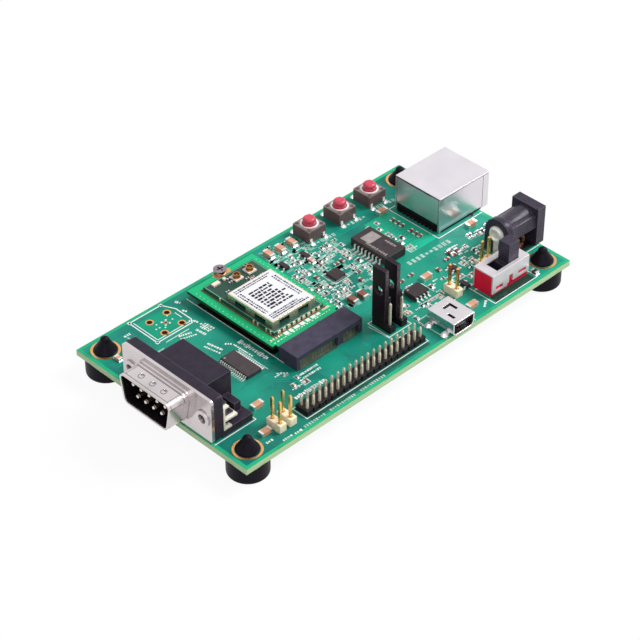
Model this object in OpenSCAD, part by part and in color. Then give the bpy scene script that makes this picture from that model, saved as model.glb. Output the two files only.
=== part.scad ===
// Microcontroller development board with a plug-in radio card.
// The board lies flat on four rubber feet. +X runs from the serial connector to the network jack,
// +Y from the pin header edge to the push button edge, +Z up.

/* [Board] */
// Length of the board along X
board_l = 112; // [106:1:130]
// Width of the board along Y
board_w = 60; // [58:1:76]
// Thickness of the board
board_t = 1.6; // [1:0.1:2.4]
// Clearance between pieces that are fitted into each other
fit = 0.05; // [0.03:0.01:0.08]
// Clearance between a pin and its plated hole, on the radius
hole_fit = 0.15; // [0.1:0.05:0.25]
// Length of a soldered pin below the board
pin_tail = 1.3; // [0.8:0.1:2]
// Radius of the holes of the empty antenna footprint
empty_hole_r = 0.75; // [0.5:0.05:1]
// Spacing of the holes of the empty antenna footprint
empty_pitch = 5.6; // [5:0.1:6.5]
// Distance from the board's left edge to the empty footprint
empty_left = 22.3; // [21:0.1:23]
// Distance from the board's back edge to the empty footprint
empty_back = 7.2; // [6.5:0.1:9]

/* [Rubber feet] */
// Distance from the board's edges to a foot's axis
foot_inset = 5; // [4.5:0.1:5.4]
// Height of a foot below the board
foot_h = 5; // [3:0.1:9]
// Radius of a foot below the board
foot_r = 5.2; // [4:0.1:6]
// Radius of the rounding at the bottom of a foot
foot_edge_r = 0.9; // [0.3:0.1:1.5]
// Radius of the hole that a foot is pushed into
foot_hole_r = 2.5; // [2:0.1:2.7]
// Radius of the barb above the board
barb_r = 2.9; // [2.7:0.1:3.2]
// Height of the barb above the board
barb_h = 4.2; // [3:0.1:6]
// Radius of the rounded tip of the barb
barb_tip_r = 1.25; // [0.6:0.05:1.8]
// Height of the straight rim under the barb's cone
barb_rim_h = 0.5; // [0.2:0.1:1]
// Width of the gilded ring around a foot
ring_w = 0.6; // [0.4:0.05:1.2]
// Thickness of the gilded ring
ring_t = 0.06; // [0.04:0.01:0.12]

/* [Serial connector] */
// Distance from the board's front edge to the middle of the connector
serial_front = 27.1; // [26:0.1:28]
// Distance from the board's edge back to the front of the flange
serial_inset = 0.3; // [0:0.1:1.5]
// Width of the flange
flange_w = 30.8; // [30:0.1:32]
// Height of the flange
flange_h = 12.5; // [12:0.1:14]
// Radius of the flange's corners
flange_corner_r = 1; // [0.5:0.1:1.6]
// Thickness of the flange
flange_t = 0.8; // [0.5:0.1:1.2]
// Width of the shell at its wide side
shell_w = 17.4; // [16:0.1:18]
// Height of the shell
shell_h = 8.4; // [8:0.1:9]
// Length of the shell in front of the flange
shell_l = 6.6; // [5.5:0.1:8]
// Thickness of the shell's wall
shell_t = 0.5; // [0.3:0.05:0.8]
// How far each side of the shell draws in from top to bottom
shell_slant = 1; // [0.8:0.05:1.8]
// Radius of the shell's corners
shell_corner_r = 1.6; // [1.5:0.1:2.5]
// How far the shell and its pins lie above the flange's middle
shell_rise = 0.85; // [0:0.05:1]
// Width of the drawn collar around the shell's root
root_w = 0.5; // [0.3:0.05:0.8]
// Length of the drawn collar in front of the flange
root_l = 0.9; // [0.5:0.1:1.5]
// Distance from the flange's end to the axis of a jack screw insert
insert_inset = 2.905; // [2.7:0.005:3.2]
// Radius of the tapped bore in an insert
insert_bore_r = 1.2; // [1:0.05:1.3]
// Radius of the holes in the flange
insert_hole_r = 1.6; // [1.5:0.05:1.8]
// Radius of the rolled head of an insert
insert_head_r = 2.2; // [2:0.1:2.6]
// Thickness of the rolled head of an insert
insert_head_t = 0.5; // [0.3:0.1:0.8]
// Thickness of the plastic plate behind the flange
serial_plate_t = 2.8; // [1.5:0.1:3]
// Width of the plastic block behind the plate
serial_block_w = 16.5; // [15.5:0.1:18]
// Length of the plastic block along X
serial_block_l = 9; // [8.5:0.1:9.8]
// Height of the plastic block
serial_block_h = 10.5; // [10:0.1:12]
// Height of the low base behind the plate
serial_base_h = 2; // [1.5:0.1:2.5]
// Height of the raised ribs at the end of the base
serial_rib_h = 4.6; // [3:0.1:6]
// Length of the raised ribs along X
serial_rib_l = 2; // [1.5:0.1:2.5]
// Radius of a contact pin
serial_pin_r = 0.5; // [0.4:0.05:0.6]
// Radius of a pin's tail
serial_tail_r = 0.35; // [0.25:0.05:0.4]
// Distance from pin to pin in a row
serial_pitch = 2.77; // [2.7:0.01:2.85]
// Distance between the two rows of pins
serial_row = 2.84; // [2.7:0.01:3]
// Distance from the shell's rim back to the pin tips
serial_pin_set = 1.1; // [0.5:0.1:2]
// Thickness of the sheet of a board lock
lock_t = 0.5; // [0.3:0.1:0.8]
// How far a board lock stands out beside the plate
lock_proud = 0.1; // [0:0.05:0.3]
// Distance from the plastic block to a board lock
lock_gap = 0.9; // [0.5:0.1:1.1]
// Height of a board lock above the insert's hole
lock_margin = 0.8; // [0.4:0.1:1.2]
// Length of a board lock's tongue
lock_reach = 3.6; // [3:0.1:4.5]

/* [Network jack] */
// Middle of the jack along Y
ethernet_y = 8.85; // [7.5:0.05:9.5]
// Width of the shield
ethernet_w = 15.7; // [15.5:0.1:16.2]
// Length of the shield along X
ethernet_l = 18.6; // [17.5:0.1:19]
// Height of the shield
ethernet_h = 10.7; // [10.6:0.1:12]
// How far the jack stands over the board's edge
ethernet_over = 3.2; // [1:0.1:4]
// Thickness of the shield's sheet
shield_t = 0.35; // [0.2:0.05:0.5]
// Height of the gap below the shield's rear wall
shield_gap_h = 2.5; // [1.5:0.1:3]
// Width of the plug cavity
cavity_w = 11.9; // [11.7:0.1:12.2]
// Height of the plug cavity above the latch groove
cavity_h = 6.6; // [6.5:0.1:6.8]
// Depth of the plug cavity
cavity_l = 13.2; // [12:0.1:14]
// Width of the latch groove below the cavity
latch_w = 6.4; // [6:0.1:7]
// Depth of the latch groove below the cavity
latch_h = 1.8; // [1.5:0.1:2]
// Height of the floor below the latch groove
cavity_floor = 1.3; // [1:0.1:1.4]
// Distance between neighbouring contact wires
wire_pitch = 1.02; // [1:0.01:1.1]
// Width and thickness of a contact wire
wire_w = 0.4; // [0.3:0.02:0.5]
// Radius of the locating pegs under the jack
peg_r = 1.5; // [1.2:0.1:1.7]
// Distance from the jack's front to the shield's soldered tabs
shield_tab_set = 6.6; // [5.5:0.1:7.5]

/* [Power jack] */
// Distance from the board's front edge to the middle of the jack
jack_dist = 14.7; // [14.6:0.1:16]
// Width of the square front of the jack
jack_w = 8.8; // [8.6:0.1:9]
// Height of the square front of the jack
jack_h = 11; // [10.6:0.1:12]
// Length of the square front along X
jack_front_l = 2.9; // [2.5:0.1:4.5]
// Whole length of the jack along X
jack_l = 13.2; // [12.8:0.1:14.6]
// How far the jack stands over the board's edge
jack_over = 1.6; // [0:0.1:2.5]
// Radius of the round barrel
barrel_r = 3.7; // [3.6:0.1:4]
// Radius of the collar at the barrel's rear end
collar_rear_r = 4.2; // [4:0.1:4.4]
// Radius of the ribs along the barrel
barrel_rib_r = 0.7; // [0.4:0.05:0.9]
// Height of the barrel's axis above the board
barrel_z = 6.5; // [6:0.1:6.6]
// Radius of the socket in the barrel
socket_r = 3.15; // [3:0.05:3.3]
// Depth of the socket
socket_l = 9.5; // [9:0.1:10]
// Length of the square block at the rear
jack_rear_l = 2; // [1.6:0.1:3]
// Radius of the centre pin
centre_pin_r = 1.05; // [0.9:0.05:1.25]
// Distance from the socket's mouth back to the pin's tip
centre_pin_set = 0.9; // [0.5:0.1:2]
// Radius of the ring terminal at the rear
ring_terminal_r = 2.3; // [1.8:0.1:2.6]
// Thickness of the terminals' sheet
terminal_t = 0.4; // [0.3:0.05:0.6]

/* [USB socket] */
// Middle of the socket along X
usb_x = 15.8; // [14:0.1:18]
// Width of the shell
usb_w = 7.4; // [7.2:0.1:8]
// Length of the shell along Y
usb_l = 8.8; // [8.2:0.1:9.5]
// Height of the shell
usb_h = 3.9; // [3.7:0.1:4.2]
// Thickness of the shell's sheet
usb_t = 0.35; // [0.25:0.05:0.45]
// Size of the slanted lower corners
usb_slant = 0.9; // [0.6:0.1:1.1]
// How far the socket stands over the board's edge
usb_over = 0.4; // [0:0.1:1]
// Thickness of the tongue
tongue_t = 1; // [0.8:0.1:1.2]
// Width of the tongue
tongue_w = 3.8; // [3.6:0.1:4.2]

/* [Slide switch] */
// Distance from the board's right edge to the switch
switch_right = 12; // [11.8:0.1:13.5]
// Distance from the board's front edge to the switch
switch_front = 3.5; // [2.5:0.1:4]
// Length of the switch along X
switch_l = 13.6; // [13.2:0.1:14.2]
// Width of the switch
switch_w = 6.5; // [6.2:0.1:6.6]
// Height of the frame's top
switch_h = 6.4; // [5.8:0.1:8]
// Thickness of the frame's sheet
frame_t = 0.4; // [0.3:0.05:0.5]
// Length of the slot in the frame
slot_l = 8.2; // [7.6:0.1:8.6]
// Width of the slot in the frame
slot_w = 3.7; // [3.2:0.1:3.9]
// How far the slot lies in front of the middle
slot_shift = 0.3; // [0:0.05:0.4]
// Length of the lever along X
lever_l = 3.8; // [3:0.1:4.5]
// Height of the lever above the frame
lever_h = 5.4; // [3:0.1:7]
// Running clearance around the lever
lever_gap = 0.1; // [0.05:0.05:0.2]

/* [Push buttons] */
// Place of the first button along X
button_x = 16.75; // [16:0.05:18]
// Distance from button to button
button_pitch = 11; // [10:0.1:12]
// Distance from the board's back edge to the buttons' axes
button_back = 5.7; // [5:0.1:7]
// Side of the square housing
button_w = 6; // [5.8:0.1:6.4]
// Height of the housing
button_h = 3.2; // [2.8:0.1:4]
// Thickness of the cover plate
cover_t = 0.35; // [0.2:0.05:0.5]
// Radius of the cap
cap_r = 1.75; // [1.4:0.05:1.85]
// Height of the cap above the cover plate
cap_h = 1.95; // [1.2:0.05:4]
// Radius of the rounding at the top of the cap
cap_edge_r = 0.8; // [0.2:0.05:1]
// Travel of a button
button_travel = 0.25; // [0.15:0.05:0.35]

/* [Radio card] */
// Middle of the card along X
card_x = -13.1; // [-13.6:0.1:-12.6]
// Distance from the board's back edge to the card's end
card_back = 4.4; // [3.5:0.1:5.5]
// Width of the card
card_w = 22; // [21.5:0.1:22.5]
// Length of the card's full width
card_l = 30.6; // [30:0.1:31.4]
// Thickness of the card
card_t = 0.8; // [0.6:0.05:0.9]
// Height of the card's underside above the board
card_z = 2.2; // [2:0.1:2.5]
// Length of the card's narrow contact edge
edge_l = 4.2; // [4:0.1:4.6]
// Width of the card's narrow contact edge
edge_w = 19.8; // [19:0.1:20.2]
// Length of the key slot in the contact edge
edge_key_l = 3.5; // [3:0.1:4]
// Width of the key slot in the contact edge
edge_key_w = 1.2; // [1:0.1:1.5]
// Radius of the half round hole at the card's end
card_hole_r = 1.2; // [1.05:0.05:1.4]
// Length of the radio board along Y
radio_l = 25.4; // [24.5:0.1:26]
// Width of the radio board
radio_w = 16.5; // [16:0.1:17.5]
// Thickness of the radio board
radio_t = 0.9; // [0.6:0.1:1.2]
// Distance from the card's end to the radio board
radio_back = 2.6; // [2.2:0.1:3.4]
// Length of the shield can
can_l = 15.9; // [15:0.1:16.5]
// Width of the shield can
can_w = 14.3; // [13.5:0.1:15]
// Height of the shield can
can_h = 1.85; // [1.2:0.05:2.5]
// Thickness of the shield can's sheet
can_t = 0.2; // [0.15:0.05:0.3]
// Distance from the radio board's front edge to the can
can_front = 1.7; // [1.2:0.1:2.2]
// Thickness of the label
label_t = 0.07; // [0.05:0.01:0.12]
// Bare margin of the can around the label
label_margin = 0.3; // [0.1:0.05:0.8]
// Distance between the two antenna sockets
antenna_pitch = 4.4; // [4:0.1:5]
// Distance from the radio board's far edge to the antenna sockets
antenna_back = 3; // [2:0.1:3.5]
// Side of an antenna socket's base
antenna_base_w = 2.6; // [2.4:0.1:3]
// Height of an antenna socket's base
antenna_base_h = 0.4; // [0.3:0.05:0.6]
// Radius of an antenna socket's ring
antenna_r = 1; // [0.8:0.05:1.15]
// Height of an antenna socket's ring
antenna_h = 0.9; // [0.6:0.1:1.3]
// Radius of the spacer under the card's end
spacer_r = 1.9; // [1.6:0.1:2.4]
// Radius of the card screw's shank
screw_r = 0.95; // [0.8:0.05:1.1]
// Radius of the card screw's head
screw_head_r = 1.7; // [1.5:0.1:2]
// Height of the card screw's head
screw_head_h = 1.1; // [0.8:0.1:1.6]

/* [Card socket] */
// Width of the socket
holder_w = 22; // [21.6:0.1:22.6]
// Depth of the socket along Y
holder_l = 6.3; // [5.8:0.1:6.8]
// Height of the socket
holder_h = 4.2; // [4:0.1:5]
// Distance from the card's shoulder to the socket
shoulder = 1.8; // [1.6:0.1:2.4]
// Distance from contact to contact
contact_pitch = 0.5; // [0.5:0.05:0.6]
// Width of a contact
contact_w = 0.22; // [0.15:0.01:0.28]
// Length of the left contact window
window_a = 12.6; // [12:0.1:13]
// Length of the right contact window
window_b = 5.4; // [5:0.1:5.8]
// Width of the key between the windows
key_w = 1.8; // [1.2:0.1:2.2]
// Depth of the contact windows
window_d = 1.2; // [1:0.1:1.5]
// Height of the contact windows
window_h = 2.8; // [2.2:0.1:3]

/* [Pin header] */
// Number of pin columns
header_columns = 20; // [20]
// Distance from pin to pin
header_pitch = 2; // [1.95:0.01:2.05]
// Middle of the header along X
header_x = -13.6; // [-14.2:0.1:-13]
// Distance from the board's front edge to the header
header_front = 3.4; // [2.8:0.1:4]
// Height of the header's plastic
header_h = 1.5; // [1.2:0.1:2.5]
// Width of a pin
header_pin_w = 0.5; // [0.4:0.02:0.56]
// Height of the pin tips above the board
header_top = 4.4; // [3.5:0.1:7]
// Length of a pin's pointed tip
tip_l = 0.4; // [0.2:0.05:0.6]

/* [Link headers] */
// Distance from pin to pin
link_pitch = 2.54; // [2.5:0.01:2.6]
// Width of the plastic
link_w = 2.2; // [2:0.05:2.4]
// Height of the plastic
link_h = 2.3; // [2:0.1:3]
// Width of a pin
link_pin_w = 0.64; // [0.5:0.02:0.7]
// Height of the pin tips above the board
link_top = 8.6; // [7:0.1:10]
// Distance from the board's left edge to the corner pair
corner_left = 14.8; // [14.4:0.1:15.5]
// Distance between the two headers of the corner pair
corner_pitch = 3.3; // [3:0.05:3.6]
// Distance from the board's front edge to the corner pair's first pins
corner_front = 4.5; // [3:0.1:5]
// Place of the header beside the USB socket along X
side_x = 24.9; // [24.4:0.1:26]
// Distance from the board's front edge to that header's first pin
side_front = 10.3; // [9.5:0.1:11]
// Distance from the power jack to the header behind the slide switch
supply_gap = 4.2; // [3.4:0.1:5]
// Distance from the middle of the jack to that header
supply_shift = 1; // [0:0.1:1.2]

/* [Jumpers] */
// Place of the first jumper header along X
mode_x = 3; // [2.6:0.1:3.4]
// Distance between the two jumper headers
mode_gap = 4; // [3.8:0.1:4.6]
// Distance from pin to pin
mode_pitch = 2; // [2:0.01:2.1]
// Distance from the board's front edge to the first pin
mode_front = 12.2; // [11.8:0.1:13]
// Width of the header's plastic
mode_w = 2; // [1.9:0.05:2.2]
// Height of the header's plastic
mode_h = 2; // [1.6:0.1:2.5]
// Width of a pin
mode_pin_w = 0.5; // [0.44:0.02:0.56]
// Height of the pin tips above the board
mode_top = 8.5; // [7.5:0.1:9]
// Width of a jumper along X
jumper_w = 2; // [1.9:0.05:2.2]
// Length of a jumper along Y
jumper_l = 4.4; // [4:0.05:4.6]
// Height of the jumper's body
jumper_h = 7.4; // [7.2:0.1:8.4]
// Thickness of the jumper's handle
handle_t = 1.2; // [1:0.1:1.6]
// Height of the jumper's handle
handle_h = 8.3; // [6:0.1:10]
// Radius of the hole in the handle
handle_hole_r = 1.2; // [0.6:0.05:1.4]
// Height of the hole in the handle above the jumper's body
handle_hole_z = 1.7; // [1.6:0.1:4]
// Thickness of the spring clip inside a jumper
clip_t = 0.2; // [0.15:0.01:0.25]

/* [Chips] */
// Size of the network transformer along X
trafo_w = 7.1; // [6.8:0.1:7.5]
// Size of the network transformer along Y
trafo_l = 12.8; // [12:0.1:13.4]
// Height of the network transformer
trafo_h = 2.4; // [2:0.1:3]
// Place of the network transformer along X
trafo_x = 24.55; // [24:0.05:25]
// Place of the network transformer along Y
trafo_y = 7.2; // [6.5:0.1:7.6]
// Size of the serial driver along X
driver_w = 4.4; // [4:0.1:4.8]
// Size of the serial driver along Y
driver_l = 9.7; // [9.4:0.1:10.4]
// Height of the serial driver
driver_h = 1.1; // [0.9:0.1:1.4]
// Place of the serial driver along X
driver_x = -32; // [-32.5:0.1:-31.5]
// Place of the serial driver along Y
driver_y = -2.35; // [-3:0.05:-2]
// Size of the regulator along X
regulator_l = 4.9; // [4.8:0.1:5.2]
// Size of the regulator along Y
regulator_w = 3.9; // [3.7:0.1:4.1]
// Height of the regulator
regulator_h = 1.6; // [1.3:0.1:1.9]
// Place of the regulator along X
regulator_x = 18.05; // [17.8:0.05:18.4]
// Distance from the board's front edge to the regulator
regulator_front = 17.65; // [17.2:0.05:18]
// Side of the square bridge chip
bridge_w = 3.5; // [3:0.1:4]
// Height of the bridge chip
bridge_h = 0.9; // [0.7:0.1:1.1]
// Thickness of the chips' leads
lead_t = 0.18; // [0.12:0.01:0.22]
// How far the chips' leads reach sideways
lead_reach = 1.2; // [0.9:0.05:1.4]

/* [Hidden] */
$fn = 48;
eps = 0.01;

// Board corners, edges and the shift that puts the middle of the whole object over the origin
board_top = foot_h + board_t;
left_x = -board_l / 2;
right_x = board_l / 2;
front_y = -board_w / 2;
back_y = board_w / 2;
flange_x = left_x + serial_inset;
shell_tip_x = flange_x - shell_l;
ethernet_front_x = right_x + ethernet_over;
jack_front_x = right_x + jack_over;
usb_front_y = front_y - usb_over;
box_mid_x = (shell_tip_x + max(ethernet_front_x, jack_front_x)) / 2;
foot_edge_y = back_y - foot_inset + foot_r;
box_mid_y = (max(back_y, foot_edge_y) - max(-usb_front_y, foot_edge_y)) / 2;

// Feet
foot_spots = [for (sx = [-1, 1], sy = [-1, 1])
    [sx * (right_x - foot_inset), sy * (back_y - foot_inset)]];
stem_r = foot_hole_r - fit;
ring_in_r = barb_r + 0.2;

// Empty antenna footprint, measured from the board's left and back edges
empty_x = left_x + empty_left;
empty_y = back_y - empty_back;
empty_spots = [for (sx = [-1, 1], sy = [-1, 1])
    [empty_x + sx * empty_pitch / 2, empty_y + sy * empty_pitch / 2]];

// Serial connector
serial_y = front_y + serial_front;
serial_z = flange_h / 2;
shell_z = serial_z + shell_rise;
plate_x = flange_x + flange_t;
plate_back_x = plate_x + serial_plate_t;
block_back_x = plate_back_x + serial_block_l;
insulator_x = flange_x - 0.6;
insert_span = flange_w - 2 * insert_inset;
insert_spots = [serial_y - insert_span / 2, serial_y + insert_span / 2];
lock_leg_r = 0.7;
lock_leg_x = plate_back_x + lock_reach;
lock_in = serial_block_w / 2 + lock_gap;
lock_w = flange_w / 2 + lock_proud - lock_in;
lock_top = serial_z + insert_hole_r + lock_margin;
lock_tongue_z = serial_base_h + 2.4;
lock_foot_l = 2;
lock_hook_l = 1.2;
upper_tail_x = block_back_x - 1.5;
serial_pins_at = concat(
    [for (i = [0 : 4]) [serial_y + (i - 2) * serial_pitch, shell_z + serial_row / 2, upper_tail_x]],
    [for (i = [0 : 3]) [serial_y + (i - 1.5) * serial_pitch, shell_z - serial_row / 2,
        upper_tail_x - serial_row]]);

// Network jack
ethernet_back_x = ethernet_front_x - ethernet_l;
cavity_z = cavity_floor + latch_h;
cavity_top = cavity_z + cavity_h;
cavity_back_x = ethernet_front_x - cavity_l;
wire_back_z = cavity_top - 1.9;
wire_front_z = cavity_top - wire_w / 2 - 0.15;
wire_front_x = ethernet_front_x - 1.8;
wire_ys = [for (i = [0 : 7]) ethernet_y + (i - 3.5) * wire_pitch];
wire_tail_xs = [cavity_back_x - 1.6, cavity_back_x - 3.2];
peg_spots = [for (s = [-1, 1]) [cavity_back_x + 2.8, ethernet_y + s * cavity_w * 0.48]];
tab_half = 0.7;
shield_tab_x = ethernet_front_x - shield_tab_set;
shield_tab_ys = [for (s = [-1, 1]) ethernet_y + s * (ethernet_w - shield_t) / 2];

// Power jack
jack_y = front_y + jack_dist;
jack_back_x = jack_front_x - jack_l;
socket_floor_x = jack_front_x - socket_l;
pin_root_r = centre_pin_r - 0.2;
rib_at = barrel_r - barrel_rib_r * 0.5;
rib_angles = [-15, 30, 150, 195];
rivet_ring_r = ring_terminal_r * 0.7;
rivet_wire_r = ring_terminal_r * 0.22;
strip_x = jack_back_x - terminal_t / 2;
leaf_slot_x = socket_floor_x + 0.9;
leaf_half = 0.8;
leaf_z = barrel_z - sqrt(socket_r * socket_r - leaf_half * leaf_half) + fit;

// USB socket
usb_back_y = usb_front_y + usb_l;
tongue_z = usb_h / 2 - 0.3;
usb_contact_w = 0.3;
usb_contact_t = 0.14;
usb_contact_z = tongue_z - usb_contact_t;
usb_contact_xs = [for (i = [-2 : 2]) usb_x + i * 0.7];

// Slide switch
switch_x1 = right_x - switch_right;
switch_x0 = switch_x1 - switch_l;
switch_mid_x = (switch_x0 + switch_x1) / 2;
switch_y0 = front_y + switch_front;
switch_y1 = switch_y0 + switch_w;
switch_mid_y = (switch_y0 + switch_y1) / 2;
slot_y = switch_mid_y - slot_shift;
lever_travel = slot_l - lever_l - 2 * lever_gap;
lever_x = switch_mid_x + lever_travel / 2;
carriage_side = 1.2;
carriage_l = lever_l + 2 * carriage_side;
carriage_w = slot_w + 0.4;
switch_floor = 2;
terminal_xs = [for (i = [-1 : 1]) switch_mid_x + i * 4.7];

// Push buttons
button_spots = [for (i = [0 : 2]) [button_x + i * button_pitch, back_y - button_back]];
collar_r = cap_r + 0.35;
collar_t = 0.9;
button_floor = button_h - 1.7;
dome_h = 0.25;
button_lead_x = 2.25;
rivet_r = 0.45;
rivet_at = button_w / 2 - 0.75;

// Radio card
card_end_y = back_y - card_back;
card_front_y = card_end_y - card_l;
card_top = card_z + card_t;
edge_end_y = card_front_y - edge_l;
radio_x = card_x + 0.3;
radio_y1 = card_end_y - radio_back;
radio_y0 = radio_y1 - radio_l;
radio_top = card_top + radio_t;
can_y0 = radio_y0 + can_front;
can_y1 = can_y0 + can_l;
can_top = radio_top + can_h;
antenna_spots = [for (i = [0, 1]) [radio_x + 0.25 + i * antenna_pitch, radio_y1 - antenna_back]];

// Card socket
holder_y1 = card_front_y - shoulder;
holder_y0 = holder_y1 - holder_l;
holder_x = card_x + 0.3;
holder_x0 = holder_x - holder_w / 2;
window_x0 = holder_x0 + (holder_w - window_a - key_w - window_b) / 2;
window_x1 = window_x0 + window_a + key_w;
contact_xs = concat(
    [for (x = [contact_pitch / 2 : contact_pitch : window_a - contact_w]) window_x0 + x],
    [for (x = [contact_pitch / 2 : contact_pitch : window_b - contact_w]) window_x1 + x]);

// Pin header, link headers and jumper headers: every soldered pin stands in a hole of the board
header_l = header_columns * header_pitch;
header_y0 = front_y + header_front;
header_spots = [for (i = [0 : header_columns - 1], j = [0, 1])
    [header_x - header_l / 2 + (i + 0.5) * header_pitch, header_y0 + (j + 0.5) * header_pitch]];
corner_x = left_x + corner_left;
corner_y = front_y + corner_front;
side_y = front_y + side_front;
supply_x = jack_back_x - supply_gap - link_pitch;
supply_y = jack_y - supply_shift;
link_spots = concat(
    [for (i = [0, 1], j = [0, 1]) [corner_x + i * corner_pitch, corner_y + j * link_pitch]],
    [for (j = [0, 1]) [side_x, side_y + j * link_pitch]],
    [for (i = [0, 1]) [supply_x + i * link_pitch, supply_y]]);
mode_y = front_y + mode_front;
mode_xs = [mode_x, mode_x + mode_gap];
mode_spots = [for (x = mode_xs, j = [0 : 2]) [x, mode_y + j * mode_pitch]];

// Jumpers sit on the two rear pins of their headers
jumper_y = mode_y + 1.5 * mode_pitch;
jumper_z = mode_h + 0.1;
jumper_top = jumper_z + jumper_h;
pocket_w = mode_pin_w + 2 * clip_t + 4 * fit;
pocket_l = mode_pitch + mode_pin_w + 0.9;
pocket_top = mode_top + 0.2 + clip_t + fit;

// Chips: [middle, size across the leads, size along the leads, top, leads a side, pitch, turned]
trafo = [[trafo_x, trafo_y], trafo_w, trafo_l, trafo_h, 8, 1.27, 0];
driver = [[driver_x, driver_y], driver_w, driver_l, driver_h, 14, 0.65, 0];
regulator_y = front_y + regulator_front;
regulator = [[regulator_x, regulator_y], regulator_w, regulator_l, regulator_h, 4, 1.27, 90];
transistor_size = [1.3, 2.9, 1];
transistor_spots = [[32.2, front_y + 18.2], [29.2, front_y + 11.6], [2.3, 18.6], [9.2, 18.1]];
transistors = [for (p = transistor_spots)
    [p, transistor_size.x, transistor_size.y, transistor_size.z, 2, 1.9, 0]];
bridge_at = [9.2, 7.05];

// Larger chip parts: [x, y, turned]
capacitor_size = [3.2, 1.6, 1.1];
capacitor_end = 0.55;
capacitor_spots = [
    [left_x + 16.7, front_y + 14.3, 0], [left_x + 11.6, front_y + 6.1, 0],
    [36.8, back_y - 12.2, 0], [24.4, front_y + 4.7, 0], [24.6, -9.6, 0], [4.8, -3.2, 90], [8, -3.5, 90],
    [10.7, 24.6, 90], [6.7, 24.5, 90], [3, 24.9, 90], [49.3, -2.2, 0]];
resistor_size = [1.6, 0.8, 0.5];
resistor_end = 0.3;
resistor_spots = concat(
    [for (y = [13.4, 11.6, 10, 6.9, 5.2, 3.6]) [36.2, y, 0]],
    [[8.6, 15.1, 0], [12.6, 10.2, 0], [14.6, 10.2, 90], [5, 9.6, 90], [14.2, 4, 0], [12.4, 1.2, 90]],
    [[36.6, -8, 0], [34, -8, 0], [29.2, -9.6, 90], [22.6, -6.2, 0], [19, -6.4, 0]]);

// Places children that are drawn on the board's top face, from the middle of the board
module on_board() {
    translate([-box_mid_x, -box_mid_y, board_top]) children();
}

// A box between two corners
module block(low, high) {
    translate(low) cube(high - low);
}

// A box on a middle point, with its size and its lowest and highest z
module slab(at, size, z0, z1) {
    translate([at.x - size.x / 2, at.y - size.y / 2, z0]) cube([size.x, size.y, z1 - z0]);
}

// An upright round post
module post(at, r, z0, z1) {
    translate([at.x, at.y, z0]) cylinder(r = r, h = z1 - z0);
}

// A round rod along X
module rod_x(y, z, r, x0, x1) {
    translate([x0, y, z]) rotate([0, 90, 0]) cylinder(r = r, h = x1 - x0);
}

// Stretches an outline in Y and Z along X
module along_x(x0, x1) {
    translate([x0, 0, 0]) rotate([90, 0, 90]) linear_extrude(x1 - x0) children();
}

// Stretches an outline in X and Z along Y
module along_y(y0, y1) {
    translate([0, y1, 0]) rotate([90, 0, 0]) linear_extrude(y1 - y0) children();
}

// A rectangle with round corners
module round_square(w, h, r) {
    square([w - 2 * r, h], center = true);
    square([w, h - 2 * r], center = true);
    for (sx = [-1, 1], sy = [-1, 1])
        translate([sx * (w / 2 - r), sy * (h / 2 - r)]) circle(r);
}

// A square pin with a pointed tip
module square_pin(at, w, z0, z1) {
    slab(at, [w, w], z0, z1 - tip_l);
    translate([at.x, at.y, z1 - tip_l]) linear_extrude(tip_l, scale = 0.4) square(w, center = true);
}

module main_board() {
    soldered = concat(
        [for (p = header_spots) [p, header_pin_w * 0.7071]],
        [for (p = link_spots) [p, link_pin_w * 0.7071]],
        [for (p = mode_spots) [p, mode_pin_w * 0.7071]],
        [for (p = serial_pins_at) [[p[2], p[0]], serial_tail_r]],
        [for (y = insert_spots) [[lock_leg_x, y], lock_leg_r]],
        [for (i = [0 : 7]) [[wire_tail_xs[i % 2], wire_ys[i]], wire_w * 0.7071]],
        [for (p = peg_spots) [p, peg_r]],
        [for (y = shield_tab_ys) [[shield_tab_x, y], tab_half + 0.1]],
        [for (x = [strip_x, leaf_slot_x]) [[x, jack_y], leaf_half + 0.1]],
        [for (x = terminal_xs) [[x, switch_mid_y], 0.6]]);
    color("seagreen") on_board() difference() {
        block([left_x, front_y, -board_t], [right_x, back_y, 0]);
        for (p = foot_spots) post(p, foot_hole_r, -board_t - 1, 1);
        for (p = empty_spots) post(p, empty_hole_r, -board_t - 1, 1);
        post([empty_x, empty_y], empty_hole_r * 0.8, -board_t - 1, 1);
        for (s = soldered) post(s[0], s[1] + hole_fit, -board_t - 1, 1);
    }
}

module hole_rings() {
    color("goldenrod") on_board() for (p = foot_spots) difference() {
        post(p, ring_in_r + ring_w, 0, ring_t);
        post(p, ring_in_r, -1, 1);
    }
}

module rubber_foot() {
    translate([0, 0, -board_t]) rotate_extrude() {
        translate([0, -foot_h]) square([foot_r - foot_edge_r, foot_h]);
        translate([0, foot_edge_r - foot_h]) square([foot_r, foot_h - foot_edge_r]);
        translate([foot_r - foot_edge_r, foot_edge_r - foot_h]) circle(foot_edge_r);
    }
    post([0, 0], stem_r, -board_t - eps, eps);
    cylinder(r = barb_r, h = barb_rim_h);
    tip_z = barb_h - barb_tip_r;
    translate([0, 0, barb_rim_h]) cylinder(r1 = barb_r, r2 = barb_tip_r, h = tip_z - barb_rim_h);
    translate([0, 0, tip_z]) sphere(barb_tip_r);
}

module rubber_feet() {
    color([0.13, 0.12, 0.15]) on_board() for (p = foot_spots) translate(p) rubber_foot();
}

// The outline of the D shaped shell, drawn in by a margin
module d_outline(margin) {
    r = shell_corner_r - margin;
    translate([serial_y, shell_z]) hull() for (s = [-1, 1]) {
        translate([s * (shell_w / 2 - shell_corner_r), shell_h / 2 - shell_corner_r]) circle(r, $fn = 32);
        translate([s * (shell_w / 2 - shell_slant - shell_corner_r), shell_corner_r - shell_h / 2])
            circle(r, $fn = 32);
    }
}

// The outline of the flange, in Y and Z
module flange_outline() {
    translate([serial_y, serial_z]) round_square(flange_w, flange_h, flange_corner_r);
}

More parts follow.
